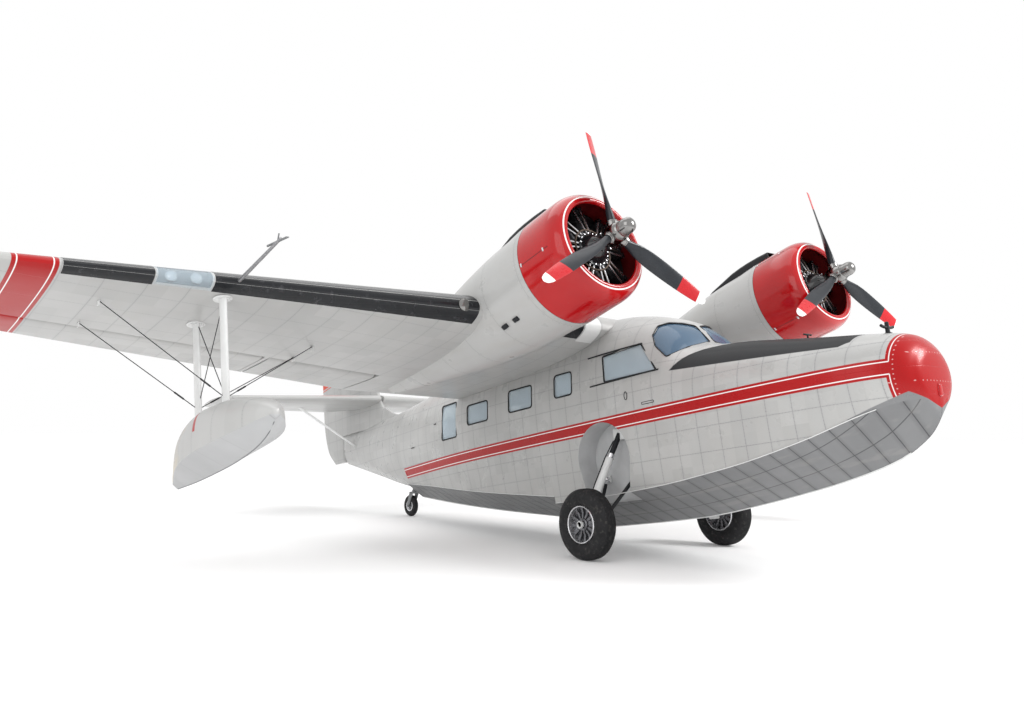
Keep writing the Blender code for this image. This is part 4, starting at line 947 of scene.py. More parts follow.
def hull_trim():
    """Thin strips along chine and keel, and the small fittings of the starboard side."""
    strips = []
    for start, end in ((-3.25, 0.945), (0.97, 4.98)):
        rows = [hull_row(y) for y in spaced((start, end), 0.1)]
        for side, _ in SIDES:
            path = [(side * (row[3] + 0.002), row[0], row[2]) for row in rows]
            strips.append(pipe(path, 0.009, 8, False, 0.55))
        strips.append(pipe([(0, row[0], row[1] + 0.004) for row in rows], 0.014, 8, False, 0.7))
    piece("chine_strips", group(*strips), (pale_paint,), crease=50)
    dark = []
    for side, _ in SIDES:
        slot = rounded([(-0.86, 1.238), (-0.68, 1.238), (-0.68, 1.262), (-0.86, 1.262)], 0.012)
        dark.append(pipe(on_side(side, slot, 0.0), 0.004, 6, True, 0.8, (1, 0, 0)))
        oval = [(-0.45 + 0.022 * math.cos(a), 1.375 + 0.045 * math.sin(a)) for a in angles(24)]
        dark.append(pipe(on_side(side, oval, 0.001), 0.005, 6, True, 0.8, (1, 0, 0)))
    grip = on_side(-1, [(4.36, 1.39), (4.37, 1.39), (4.43, 1.39), (4.44, 1.39)], 0.0)
    grip = [grip[0]] + [(x - 0.02, y, z) for x, y, z in grip[1:3]] + [grip[3]]
    dark.append(pipe(grip, 0.006, 8, False, 1.0, (1, 0, 0)))
    latch = on_side(-1, [(3.57, 1.64), (3.63, 1.64)], 0.006)
    dark.append(pipe(latch, 0.008, 8, False, 1.0, (1, 0, 0)))
    piece("hull_fittings", group(*dark), (black_trim,), crease=50)


make_hull()
make_panes()
window_frames()
make_door()
hull_trim()


# The wing

HALF_SPAN = 7.47
ROOT_X, SQUARE_END = 2.45, 6.95
ROOT_CHORD, TIP_CHORD = 3.05, 1.50
ROOT_THICKNESS, TIP_THICKNESS = 0.165, 0.11
INCIDENCE, DIHEDRAL = math.radians(7.0), math.radians(2.5)
# Share of the chord at the hinges of flap and aileron
HINGE = 0.74
# Spans of flap and aileron, and the room beside each
FLAP_X = (2.53, 3.955, 0.020)
AILERON_X = (4.03, 6.82, 0.008)


def tapered(x, root, tip):
    share = max(min(abs(x), HALF_SPAN) - ROOT_X, 0.0) / (HALF_SPAN - ROOT_X)
    return root + (tip - root) * share


def chord_at(x):
    return tapered(x, ROOT_CHORD, TIP_CHORD)


def leading_edge(x):
    a = abs(x)
    return Vector((x, -0.10 + max(a - ROOT_X, 0.0) * 0.142, 2.244 + a * math.tan(DIHEDRAL)))


def thickness_at(x):
    return tapered(x, ROOT_THICKNESS, TIP_THICKNESS)


def half_thickness(t, ratio):
    bulge = 0.2969 * math.sqrt(t) - 0.126 * t - 0.3516 * t ** 2 + 0.2843 * t ** 3 - 0.1036 * t ** 4
    return 5 * ratio * bulge


def camber(t):
    return 0.022 * math.sin(math.pi * t ** 0.7)


def on_wing(x, along, up):
    start = leading_edge(x)
    c, s = math.cos(INCIDENCE), math.sin(INCIDENCE)
    return Vector((x, start.y + along * c + up * s, start.z - along * s + up * c))


def wing_skin_point(x, t, top=True, out=0.0):
    """A point on the wing's skin at a share of its chord."""
    chord = chord_at(x)
    rise = half_thickness(t, thickness_at(x)) * chord + 0.003 * min(t * 20, 1.0) + out
    return on_wing(x, t * chord, camber(t) * chord + (rise if top else -rise))


def wing_ring(x, scale=1.0, shift=0.0):
    chord, ratio = chord_at(x), thickness_at(x)
    ts = [(1 - math.cos(math.pi * i / 22)) / 2 for i in range(1, 23)]
    points = []
    for t in ts[::-1]:
        points.append((t * chord * scale, (camber(t) + half_thickness(t, ratio)) * chord * scale + 0.003))
    points.append((0.0, 0.0))
    for t in ts:
        points.append((t * chord * scale, (camber(t) - half_thickness(t, ratio)) * chord * scale - 0.003))
    return [on_wing(x, along + shift * chord, up) for along, up in points]


def nose_radius(x):
    return half_thickness(HINGE, thickness_at(x)) * chord_at(x)


def round_nose(middle, radius):
    """Half circle of (along, up) in front of a hinge line."""
    turns = [math.radians(90 + 15 * step) for step in range(13)]
    return [(middle + radius * math.cos(angle), radius * math.sin(angle)) for angle in turns]


def surface_bay(side, inner, outer, room):
    rings = []
    for a in (inner - room, outer + room):
        x = side * a
        front, back = HINGE * chord_at(x) - nose_radius(x) - 0.008, chord_at(x) + 0.3
        rings.append([on_wing(x, along, up) for along, up in rectangle(front, back, -0.4, 0.4)])
    return loft(rings)


def surface_ring(x):
    """Round nose on the hinge line, then a wedge to the trailing edge."""
    chord, radius = chord_at(x), nose_radius(x)
    ring = [on_wing(x, along, camber(HINGE) * chord + up) for along, up in round_nose(HINGE * chord, radius)]
    upper, lower = [on_wing(x, chord, 0.003)], []
    for step in range(5, 0, -1):
        t = HINGE + (1 - HINGE) * step / 6
        half = half_thickness(t, thickness_at(x)) * chord + 0.003
        upper.append(on_wing(x, t * chord, camber(t) * chord + half))
        lower.append(on_wing(x, t * chord, camber(t) * chord - half))
    return ring + lower[::-1] + [on_wing(x, chord, -0.003)] + upper


def nose_strip(side, inner, outer, top_t, low_t, out, thick):
    """A strip that wraps the leading edge between two stations."""
    rings = []
    for a in spaced((inner, outer), 0.4):
        x = side * a
        layers = []
        for height in (out, out - thick):
            layer = [wing_skin_point(x, top_t * (1 - i / 7) ** 2, True, height) for i in range(7)]
            layer.append(on_wing(x, -height, 0.0))
            layer += [wing_skin_point(x, low_t * (i / 7) ** 2, False, height) for i in range(1, 8)]
            layers.append(layer)
        rings.append(layers[0] + layers[1][::-1])
    return loft(rings)


def make_wing():
    rings = [wing_ring(x) for x in spaced((-SQUARE_END, -ROOT_X, ROOT_X, SQUARE_END), 0.45)]
    for side in (1, -1):
        tips = []
        for u in (0.25, 0.45, 0.62, 0.76, 0.87, 0.94, 0.98, 1.0):
            scale = max((1 - u ** 2.3) ** (1 / 2.3), 0.07)
            x = side * (SQUARE_END + (HALF_SPAN - SQUARE_END) * u)
            tips.append(wing_ring(x, scale, (1 - scale) * 0.4))
        rings = rings + tips if side > 0 else tips[::-1] + rings
    bays, lamp_bays = [], []
    for side, _ in SIDES:
        bays += [surface_bay(side, *FLAP_X), surface_bay(side, *AILERON_X)]
        ends = [[on_wing(side * a, along, up) for along, up in rectangle(-0.1, 0.085, -0.2, 0.2)]
                for a in (5.24, 5.71)]
        lamp_bays.append(tinted(loft(ends), 1))
    whole = carved(tinted(loft(rings), 0), *bays, group(*lamp_bays))
    piece("wing", whole, (wing_skin, black_trim),
          stands_for=("wing_center", "wing_starboard", "wing_port"))
    boots, covers, lamps, reflectors, fairings = [], [], [], [], []
    for side, word in SIDES:
        boots += [nose_strip(side, *span, 0.050, 0.060, 0.0025, 0.004)
                  for span in ((2.50, 5.215), (5.735, 6.47), (1.00, 1.33))]
        fairings.append(nose_strip(side, 0.74, 0.98, 0.060, 0.075, 0.004, 0.006))
        dish = lathe([(0.0, -0.030), (0.045, -0.024), (0.066, -0.008), (0.072, -0.010), (0.070, 0.004),
                      (0.0, 0.004)], 32)
        reflectors.append(moved(dish, Matrix.Translation(on_wing(side * 2.68, 0.010, 0.0))))
        covers.append(nose_strip(side, 5.225, 5.725, 0.045, 0.055, 0.002, 0.004))
        for a in (5.37, 5.59):
            place = Matrix.Translation(on_wing(side * a, 0.075, 0.0))
            dish = lathe([(0.0, 0.0), (0.03, -0.004), (0.05, -0.020), (0.056, -0.034), (0.052, -0.034),
                          (0.046, -0.022), (0.028, -0.009), (0.0, -0.006)], 24)
            lens = lathe([(0.0, -0.036), (0.03, -0.034), (0.049, -0.028), (0.046, -0.024), (0.0, -0.030)], 24)
            reflectors.append(moved(dish, place))
            lamps.append(moved(lens, place))
        for name, limits in (("flap_", FLAP_X), ("aileron_", AILERON_X)):
            surface = loft([surface_ring(side * a) for a in spaced(limits[:2], 0.35)])
            piece(name + word + "_skin", surface, (wing_skin,), name + word, (name + word,))
    piece("leading_edge_boots", group(*boots), (boot,))
    piece("root_fairings", group(*fairings), (pale_paint,))
    piece("lamp_covers", group(*covers), (lamp_glass,))
    piece("landing_lamps", group(*reflectors), (chrome,))
    piece("lamp_lenses", group(*lamps), (lamp_glass,))


make_wing()


# Engines, cowls and propellers

ENGINE_X = 1.916


def thrust_frame(side):
    """Axes of one engine: origin in the propeller disc, Y aft along the shaft."""
    return Matrix.Translation((side * ENGINE_X, -1.598, 2.764)) @ Matrix.Rotation(math.radians(-11.0), 4, "X")


def cylinder():
    """One finned cylinder with its head and two rocker boxes, standing along +Z."""
    profile = [(0.0, 0.16), (0.056, 0.16), (0.056, 0.262)]
    for count, first, root, tip, taper in ((8, 0.266, 0.057, 0.073, 0.0), (11, 0.370, 0.064, 0.083, 0.0016)):
        for i in range(count):
            z, edge = first + i * 0.0125, tip - taper * i
            profile += [(root, z), (edge, z + 0.001), (edge, z + 0.005), (root, z + 0.006)]
    profile += [(0.050, 0.515), (0.0, 0.520)]
    barrel = moved(lathe(profile, 20), Matrix.Rotation(math.pi / 2, 4, "X"))
    boxes = []
    for x in (-0.045, 0.045):
        boxes.append((block((x - 0.024, -0.066, 0.478), (x + 0.024, 0.020, 0.540), 0.008), 0))
        boxes.append((bar((x, -0.03, 0.534), (x, -0.03, 0.546), 0.011, 6), 2))
    return group((barrel, 1), *boxes)


def stud(turn, radius, start, end, size):
    """A hexagon head that stands forward of a round flange."""
    return moved(bar((0, start, 0), (0, end, 0), size, 6), turn @ Matrix.Translation((0, 0, radius))), 2


def make_engine(side, word):
    case = lathe([(0.0, 0.105), (0.050, 0.107), (0.066, 0.116), (0.072, 0.150), (0.098, 0.185),
                  (0.118, 0.216), (0.124, 0.222), (0.150, 0.285), (0.166, 0.312), (0.190, 0.318),
                  (0.192, 0.336), (0.186, 0.345), (0.186, 0.56), (0.200, 0.60), (0.258, 0.62),
                  (0.258, 0.68), (0.17, 0.70), (0.17, 1.07), (0.0, 1.07)], 48)
    section_ring = [(0.226 + 0.010 * math.cos(a), 0.335 + 0.010 * math.sin(a)) for a in angles(10)]
    ring = lathe(section_ring, 48, closed=True)
    baffle = lathe([(0.17, 0.500), (0.575, 0.505), (0.575, 0.515), (0.17, 0.510)], 48, closed=True)
    parts = [(case, 0), (ring, 3), (baffle, 1), (bar((0, 0.13, 0), (0, -0.054, 0), 0.0395, 24), 2)]
    parts += [stud(spun((index + 0.5) / 18), 0.177, 0.306, 0.322, 0.008) for index in range(18)]
    for index in range(9):
        turn = spun(index / 9)
        parts.append(stud(turn, 0.104, 0.176, 0.196, 0.007))
        parts.append((moved(cylinder(), turn @ Matrix.Translation((0, 0.47, 0))), None))
        for x in (-0.035, 0.035):
            foot, head = turn @ Vector((x * 0.6, 0.325, 0.150)), turn @ Vector((x * 1.4, 0.415, 0.485))
            parts.append((bar(foot, head, 0.011, 12), 2))
            parts.append((bar(foot, foot.lerp(head, 0.10), 0.014, 12), 0))
        lead = ((0.0, 0.335, 0.235), (0.0, 0.350, 0.330), (0.004, 0.372, 0.400), (0.0, 0.395, 0.440))
        parts.append((pipe([turn @ Vector(point) for point in lead], 0.005, 8), 3))
    piece("engine_" + word + "_detail", group(*parts),
          (crankcase, cylinder_metal, bright_steel, exhaust_metal),
          stands_for=("engine_" + word,), matrix=LEVEL @ thrust_frame(side))


def make_cowl(side, word):
    """Red cowl with its white ring, a pale skirt behind the seam and an inside in a darker red that is painted
    shade.
    """
    r = 0.605
    outside = [(r - 0.145, 0.178), (r - 0.135, 0.165), (r - 0.122, 0.160), (r - 0.106, 0.163),
               (r - 0.082, 0.176), (r - 0.055, 0.197), (r - 0.034, 0.226), (r - 0.016, 0.268),
               (r - 0.005, 0.315), (r, 0.37), (r, 0.55), (r, 0.80), (r - 0.003, 0.92), (r - 0.014, 1.08)]
    inside = [(r - 0.030, 1.08), (r - 0.018, 0.92), (r - 0.018, 0.80), (r - 0.018, 0.37), (r - 0.036, 0.30),
              (r - 0.070, 0.250), (r - 0.110, 0.225), (r - 0.140, 0.212), (r - 0.150, 0.195)]
    matrix = LEVEL @ thrust_frame(side)
    skin = lathe(outside + inside, 72, closed=True)

    def finish_at(centre):
        radius = math.hypot(centre.x, centre.z)
        if centre.y > 0.80 and radius > 0.589:
            return 1
        # Faces inside the lip take the darker red of painted shade.
        return 2 if centre.y > 0.20 and radius < (0.465 if centre.y < 0.26 else 0.588) else 0

    piece("cowl_" + word + "_skin", finish_faces(skin, finish_at), (cowl_red, nacelle_skin, cowl_inside_shade),
          stands_for=("cowl_" + word,), matrix=matrix)
    band = lathe([(0.5085, 0.1673), (0.5215, 0.1744), (0.5215, 0.1764), (0.5085, 0.1693)], 72, True)
    piece("cowl_" + word + "_line", band, (white_line,), matrix=matrix)
    border = [(r - 0.003, 0.798), (r + 0.0006, 0.798), (r + 0.0006, 0.802), (r - 0.003, 0.802)]
    seams, latches = [lathe(border, 72, True)], []
    for degrees in (side * 93, side * 93 + 133, side * 93 + 227):
        turn = Matrix.Rotation(math.radians(degrees), 4, "Y")
        seams.append(moved(block((-0.002, 0.35, r - 0.004), (0.002, 0.80, r + 0.001), 0.0), turn))
        for y in (0.42, 0.77):
            latch = block((-0.020, y - 0.010, r - 0.002), (0.020, y + 0.010, r + 0.006), 0.003)
            latches.append(moved(latch, turn))
    latches += [moved(ball((0, 0.885, r - 0.001), 0.005, 8), spun(index / 24)) for index in range(24)]
    piece("cowl_" + word + "_seams", group(*seams), (black_trim,), matrix=matrix)
    piece("cowl_" + word + "_latches", group(*latches), (bright_steel,), matrix=matrix)


BLADE = ((0.05, 0.088, 0.088, 0.0), (0.17, 0.090, 0.080, 60.0), (0.34, 0.150, 0.045, 50.0),
         (0.60, 0.175, 0.028, 36.0), (0.90, 0.165, 0.020, 27.0), (1.15, 0.130, 0.014, 22.0),
         (1.245, 0.085, 0.010, 20.0), (1.268, 0.030, 0.008, 20.0))


def blade():
    """One blade along +Z, round at the root and thin at the tip."""
    rings = []
    for radius in spaced((0.07, 0.17, 0.34, 0.90, 1.16, 1.245, 1.268), 0.055)[:-1] + [1.256, 1.268]:
        _, chord, thick, pitch = eased(BLADE, radius)
        c, s = math.cos(math.radians(pitch)), math.sin(math.radians(pitch))
        ring = []
        for angle in angles(20, 0.5):
            u, v = chord / 2 * math.cos(angle), thick / 2 * math.sin(angle)
            ring.append((u * c - v * s, u * s + v * c, radius))
        rings.append(ring)
    return finish_faces(loft(rings), lambda p: 2 if p.z > 1.16 else 1 if p.z > 0.90 else 0)


def make_propeller(side, word):
    hub = lathe([(0.0, -0.2615), (0.020, -0.2600), (0.044, -0.2520), (0.064, -0.2370), (0.077, -0.2160),
                 (0.083, -0.190), (0.083, -0.128), (0.087, -0.126), (0.087, -0.112), (0.096, -0.104),
                 (0.101, -0.090), (0.104, -0.060), (0.104, 0.060), (0.098, 0.085), (0.090, 0.100),
                 (0.0415, 0.104), (0.0415, -0.060), (0.0, -0.066)], 48)
    shapes = [(hub, 3)]
    for index in range(3):
        turn = spun(index / 3)
        shapes.append((moved(blade(), turn), None))
        collar = lathe([(0.046, 0.075), (0.058, 0.080), (0.062, 0.100), (0.062, 0.125), (0.056, 0.132),
                        (0.056, 0.142), (0.048, 0.146)], 32)
        shapes.append((moved(collar, turn @ Matrix.Rotation(math.pi / 2, 4, "X")), 3))
        for x in (-0.062, 0.062):
            bolt = bar((x, -0.012, 0.112), (x, 0.014, 0.112), 0.009, 6)
            shapes.append((moved(bolt, turn), 3))
    piece("propeller_" + word + "_detail", group(*shapes), (blade_grey, blade_red, white_line, chrome),
          "propeller_" + word, ("propeller_" + word,), matrix=LEVEL @ thrust_frame(side))


# Columns: y, half width, top
SCOOP = ((0.74, 0.135, 0.670), (0.75, 0.146, 0.688), (0.90, 0.150, 0.694), (1.085, 0.150, 0.694),
         (1.20, 0.150, 0.688), (1.35, 0.150, 0.672), (1.55, 0.142, 0.632), (1.75, 0.126, 0.597),
         (1.90, 0.10, 0.555), (2.0, 0.07, 0.518))


def make_nacelle(side, word):
    matrix = LEVEL @ thrust_frame(side)
    face = thrust_frame(side) @ Vector((0, 1.082, 0))
    # Columns: y, z, radius, tilt of the section in degrees
    table = ((face.y, face.z, 0.588, 11.0), (-0.05, 2.465, 0.570, 9.0), (0.60, 2.350, 0.500, 7.0),
             (1.30, 2.235, 0.385, 6.0), (2.00, 2.110, 0.250, 6.0), (2.62, 2.000, 0.110, 6.0))
    rings = []
    for y in spaced((face.y, 2.62), 0.12):
        _, z, radius, tilt = eased(table, y)
        up = Vector((0, math.sin(math.radians(tilt)), math.cos(math.radians(tilt))))
        middle = Vector((side * ENGINE_X, y, z))
        rings.append([middle + Vector((radius * math.cos(a), 0, 0)) + up * radius * math.sin(a)
                      for a in angles(56)])
    end = Vector((side * ENGINE_X, 2.62, 2.0))
    for share, aft in ((0.6, 0.004), (0.3, 0.008)):
        rings.append([end + (p - end) * share + Vector((0, aft, 0)) for p in rings[-1]])
    piece("nacelle_" + word + "_skin", loft(rings), (nacelle_skin,),
          stands_for=("nacelle_" + word,))
    vents = []
    for y in (1.22, 1.41):
        place = Matrix.Translation((side * 0.425, y, -0.41)) @ spun(side * 134 / 360)
        vents.append(moved(block((-0.025, -0.04, -0.030), (0.025, 0.04, 0.012), 0.006), place))
    piece("nacelle_" + word + "_vents", group(*vents), (black_trim,), matrix=matrix)
    rings = []
    for y, half, top in SCOOP:
        arc = [(half, 0.42 if y > 1.10 else 0.578)]
        for i in range(6):
            angle = math.pi / 2 * i / 5
            arc.append((half - 0.045 * (1 - math.cos(angle)), top - 0.045 * (1 - math.sin(angle))))
        rings.append([(x, y, z) for x, z in arc] + [(-x, y, z) for x, z in arc[::-1]])
    scoop = carved(loft(rings), block((-0.12, 0.70, 0.608), (0.12, 0.92, 0.674), 0.010))
    piece("cooler_scoop_" + word + "_skin", scoop, (black_trim,),
          stands_for=("cooler_scoop_" + word,), matrix=matrix)


for side, word in SIDES:
    make_engine(side, word)
    make_cowl(side, word)
    make_propeller(side, word)
    make_nacelle(side, word)


# Wheels and landing gear

def tyre(radius, width, rim, grooves):
    """Closed tyre section with grooves round the tread."""
    w, wall = width / 2, radius - rim
    half = []
    for i in range(11):
        angle = math.radians(-48 + 105 * i / 10)
        half.append((rim + wall * (0.46 + 0.54 * math.sin(angle)), w * math.cos(angle) ** 0.75))
    tread, gap = [], w * 0.030
    for i in range(grooves):
        at = w * 0.52 * (1 - 2 * (i + 0.5) / grooves)
        top = radius - wall * 0.10 * (abs(at) / w) ** 2
        low = top - 0.007
        tread += [(top, at + gap * 2.2), (top, at + gap), (low, at + gap * 0.7), (low, at - gap * 0.7),
                  (top, at - gap), (top, at - gap * 2.2)]
    far = [(r, -y) for r, y in half[::-1]]
    base = [(rim - 0.012, -w * 0.52), (rim - 0.012, w * 0.52)]
    return lathe(half + tread + far + base, 72, closed=True)


def spoked_rim(radius, width, bore, spokes):
    """Rim with its polished flange, a drum and radial spokes on both faces."""
    w = width / 2
    flange = [(radius + 0.006, w * 0.60), (radius + 0.006, w * 0.80), (radius - 0.001, w * 0.88),
              (radius - 0.010, w * 0.84), (radius - 0.016, w * 0.55), (radius - 0.030, w * 0.20)]
    drum = [(bore, w * 0.64), (bore + 0.030, w * 0.66), (bore + 0.040, w * 0.58), (bore + 0.044, w * 0.35),
            (radius * 0.5, w * 0.20), (radius - 0.028, w * 0.16)]
    shapes = [(lathe(half + [(r, -y) for r, y in half[::-1]], steps, True), finish)
              for half, steps, finish in ((flange, 64, 1), (drum, 48, 0))]
    wide, inner = radius * 0.085, w * 0.12
    for index in range(spokes):
        for face in (-1, 1):
            rings = []
            for z, half, y in ((bore + 0.030, wide * 0.8, 0.50), (radius * 0.6, wide, 0.40),
                               (radius - 0.016, wide * 1.35, 0.50)):
                rings.append([(half, face * inner, z), (half * 0.7, face * w * y, z),
                              (-half * 0.7, face * w * y, z), (-half, face * inner, z)])
            shapes.append((moved(loft(rings), spun(index / spokes)), 0))
    return group(*shapes)


def make_wheel(name, body, place, sizes, rim_sizes):
    """Tyre and rim of one wheel, turned so that the axle runs across the aircraft."""
    matrix = LEVEL @ Matrix.Translation(place) @ Matrix.Rotation(math.pi / 2, 4, "Z")
    piece(name.format("tyre"), tyre(*sizes), (tyre_rubber,), body, (body,), 40, matrix)
    piece(name.format("rim"), spoked_rim(*rim_sizes), (rim_metal, bright_steel), body,
          matrix=matrix)


def make_main_gear(side, word):
    make_wheel("main_{}_" + word, "main_wheel_" + word, (side * 1.175, 0, 0), (AXLE_HEIGHT, 0.235, 0.205, 6),
               (0.205, 0.235, 0.0315, 12))

    def at(x, y, z):
        return Vector((side * x, y, z))

    top, knee = at(0.5703, -0.05, 1.00), at(1.00, 0.15, 0.12)
    steel = []
    for near, far, radius, sides, finish in (
            (top, top.lerp(knee, 0.30), 0.032, 32, 1),
            (top.lerp(knee, 0.26), top.lerp(knee, 0.31), 0.047, 32, 2),
            (top.lerp(knee, 0.30), knee, 0.0445, 32, 0),
            (top.lerp(knee, 0.93), knee, 0.047, 32, 0),
            (at(0.995, 0, 0), at(1.00, 0.16, 0.12), 0.040, 32, 0),
            (at(0.97, 0, 0), at(1.2925, 0, 0), 0.030, 32, 2),
            (at(1.262, 0, 0), at(1.2925, 0, 0), 0.043, 6, 0)):
        steel.append((bar(near, far, radius, sides), finish))
    steel.append((side_block(side, (0.9545, -0.057, -0.057), (1.037, 0.057, 0.092), 0.014, 3), 0))
    steel.append((side_block(side, (0.5205, -0.14, 0.93), (0.592, 0.04, 1.07), 0.012, 3), 0))
    for y in (-0.24, 0.24):
        foot, end = at(0.56, y, 0.50), at(0.99, y * 0.14, 0.0)
        steel.append((ball(foot, 0.034, 20), 2))
        for near, far, radius, finish in (
                (0.0, 1.0, 0.021, 1), (0.06, 0.14, 0.028, 2), (0.86, 0.92, 0.027, 2)):
            steel.append((bar(foot.lerp(end, near), foot.lerp(end, far), radius, 24), finish))
        steel.append((side_block(side, (0.5205, y - 0.04, 0.46), (0.551, y + 0.04, 0.54), 0.006), 0))
        for dy in (-0.026, 0.026):
            for dz in (-0.026, 0.026):
                steel.append((bar(at(0.549, y + dy, 0.50 + dz), at(0.556, y + dy, 0.50 + dz), 0.007, 6), 2))
    hose = [top.lerp(knee, share) + Vector((0, y, z)) for share, y, z in (
        (0.08, 0.06, 0), (0.3, 0.085, 0.01), (0.6, 0.09, 0), (0.88, 0.07, 0), (0.97, 0.045, 0))]
    steel.append((pipe(hose, 0.0065, 10), 1))
    piece("gear_leg_" + word + "_detail", group(*steel), (pale_paint, black_trim, bright_steel),
          stands_for=("gear_leg_" + word,))


TAIL_AXLE = (5.36, (0.17 - AXLE_HEIGHT + 5.36 * math.sin(PITCH)) / math.cos(PITCH))
FORK_Y = 5.24


def make_tail_wheel():
    y, z = TAIL_AXLE
    make_wheel("tail_{}", "tail_wheel", (0, y, z), (0.17, 0.084, 0.085, 3), (0.085, 0.084, 0.0115, 8))
    shapes = [bar((0, FORK_Y, 0.775), (0, FORK_Y, 0.949), 0.0255, 24),
              bar((0, FORK_Y, 0.775), (0, FORK_Y, 0.815), 0.036, 24),
              block((-0.064, 5.19, 0.757), (0.064, 5.30, 0.79), 0.010, 3),
              bar((-0.06, y, z), (0.06, y, z), 0.0098, 16)]
    outline = rounded([(5.195, 0.775), (5.295, 0.775), (y + 0.03, z + 0.02), (y + 0.015, z - 0.025),
                       (y - 0.025, z - 0.01)], 0.03)
    for side in (-1, 1):
        arm = prism(outline, side * 0.048, side * 0.064)
        shapes += [eased_edges(arm, 0.003, 2), bar((side * 0.060, y, z), (side * 0.070, y, z), 0.017, 6)]
    piece("tail_fork_detail", group(*shapes), (fork_grey,), "tail_fork", ("tail_fork",))


for side, word in SIDES:
    make_main_gear(side, word)
make_tail_wheel()


# Wing floats

# Columns: y, keel z, chine z, chine half width, deck z
FLOAT = (
    (-0.54, 1.07, 1.10, 0.03, 1.14),
    (-0.42, 0.97, 1.05, 0.14, 1.22),
    (-0.16, 0.87, 0.99, 0.24, 1.30),
    (0.28, 0.79, 0.94, 0.29, 1.33),
    (0.75, 0.74, 0.90, 0.28, 1.31),
    (1.28, 0.70, 0.83, 0.20, 1.19),
    (1.78, 0.68, 0.73, 0.05, 0.90),
)
FLOAT_X = 5.07
STRUT_YS = (0.50, 1.18)
# Bracing wires: strut y, distance of the wing anchor outboard of the float, anchor y
FLOAT_WIRES = ((0.50, 0.98, 0.98), (1.18, 0.98, 1.64), (0.50, -1.32, 1.32), (1.18, -1.32, 1.78))


def float_ring(row, middle, share=1.0):
    y, keel, chine, half, deck = row
    points = [(half * i / 5, keel + (chine - keel) * i / 5) for i in range(6)]
    for i in range(1, 12):
        angle = math.pi / 2 * i / 12
        points.append((half * math.cos(angle) ** 0.625, chine + (deck - chine) * math.sin(angle) ** 0.625))
    points.append((0.0, deck))
    centre = (keel + deck) / 2
    ring = points + [(-x, z) for x, z in points[-2:0:-1]]
    return [(middle + x * share, y, centre + (z - centre) * share) for x, z in ring]


def make_float(side, word):
    middle = side * FLOAT_X
    rings = [float_ring(eased(FLOAT, -0.54), middle, 0.5)]
    for y in spaced((-0.535, -0.42), 0.03)[:-1] + spaced((-0.42, 1.78), 0.1):
        rings.append(float_ring(eased(FLOAT, y), middle))
    bm = finish_faces(loft(rings), lambda c: 1 if c.z < eased(FLOAT, c.y)[2] - 0.002 else 0)
    piece("float_" + word + "_skin", bm, (float_skin, float_bottom),
          stands_for=("float_" + word,))
    keel = pipe([(middle, y, eased(FLOAT, y)[1] + 0.003) for y in spaced((-0.50, 1.76), 0.1)], 0.006, 8)
    piece("float_" + word + "_keel", keel, (fork_grey,), crease=50)
    spreader = bar((middle, STRUT_YS[0], 1.36), (middle, STRUT_YS[1], 1.36), 0.011, 16)
    struts, fittings, wires = [spreader], [], []
    for y, other in (STRUT_YS, STRUT_YS[::-1]):
        deck = eased(FLOAT, y)[4]
        roof = wing_skin_point(middle, (y - leading_edge(middle).y) / chord_at(middle), False).z + 0.02
        rings = []
        for z in (deck - 0.03, deck + 0.02, roof):
            rings.append([(middle + 0.027 * math.cos(a),
                           y + 0.062 * math.sin(a) * (1.0 + 0.25 * max(math.sin(a), 0.0)) - 0.01, z)
                          for a in angles(24)])
        struts.append(loft(rings))
        pad = lathe([(0.0, -0.004), (0.088, -0.004), (0.092, 0.002), (0.088, 0.010), (0.055, 0.014),
                     (0.0, 0.014)], 40)
        tilt = Matrix.Rotation(-INCIDENCE, 4, "X") @ Matrix.Rotation(-math.pi / 2, 4, "X")
        fittings.append(moved(pad, Matrix.Translation((middle, y, roof - 0.020)) @ tilt))
        foot = Vector((middle, y, deck - 0.011))
        fittings.append(block(foot - Vector((0.075, 0.11, 0.017)), foot + Vector((0.075, 0.11, 0.017)), 0.01))
        for a in angles(10):
            at = Vector((middle + 0.074 * math.cos(a), y + 0.074 * math.sin(a), roof - 0.030))
            fittings.append(bar(at, at + Vector((0, 0, -0.010)), 0.0065, 6))
        wires.append(bar((middle, y, 1.41), (middle, other, 2.30), 0.0045, 8))
    for y, reach, anchor_y in FLOAT_WIRES:
        x = middle + side * reach
        share = (anchor_y - leading_edge(x).y) / math.cos(INCIDENCE) / chord_at(x)
        start, top = Vector((middle, y, 1.40)), wing_skin_point(x, share, False)
        wires.append(bar(start, start.lerp(top, 1.01), 0.0045, 8))
        wires.append(bar(start.lerp(top, 0.12), start.lerp(top, 0.20), 0.0085, 10))
        plate = block(top - Vector((0.003, 0.035, 0.045)), top + Vector((0.003, 0.035, 0.008)), 0.002)
        fittings.append(plate)
    shapes = [(shape, index) for index, shapes in enumerate((struts, wires, fittings)) for shape in shapes]
    piece("float_struts_" + word + "_detail", group(*shapes), (pale_paint, wire_steel, pale_paint),
          stands_for=("float_struts_" + word,))


for side, word in SIDES:
    make_float(side, word)


# Tail

RUDDER_Y = 7.42
STAB_FRONT, STAB_Z, STAB_SWEEP = 6.02, 2.44, 0.11
# Share of the chord at the elevator's hinge, and the thickness of the tailplane
STAB_HINGE, STAB_THICKNESS = 0.60, 0.12
FIN_FRONT = ((1.95, 5.75), (2.15, 5.90), (2.40, 6.08), (2.70, 6.20), (3.80, 6.52), (4.08, 6.67), (4.20, 6.80),
             (4.27, 6.93), (4.30, 7.05))
# Columns: z, chord behind the hinge, radius at the hinge
RUDDER = ((1.50, 0.36, 0.050), (1.75, 0.60, 0.055), (2.30, 0.716, 0.055), (3.20, 0.697, 0.050),
          (3.90, 0.56, 0.040), (4.10, 0.46, 0.033), (4.20, 0.38, 0.026), (4.27, 0.28, 0.018),
          (4.30, 0.18, 0.010))


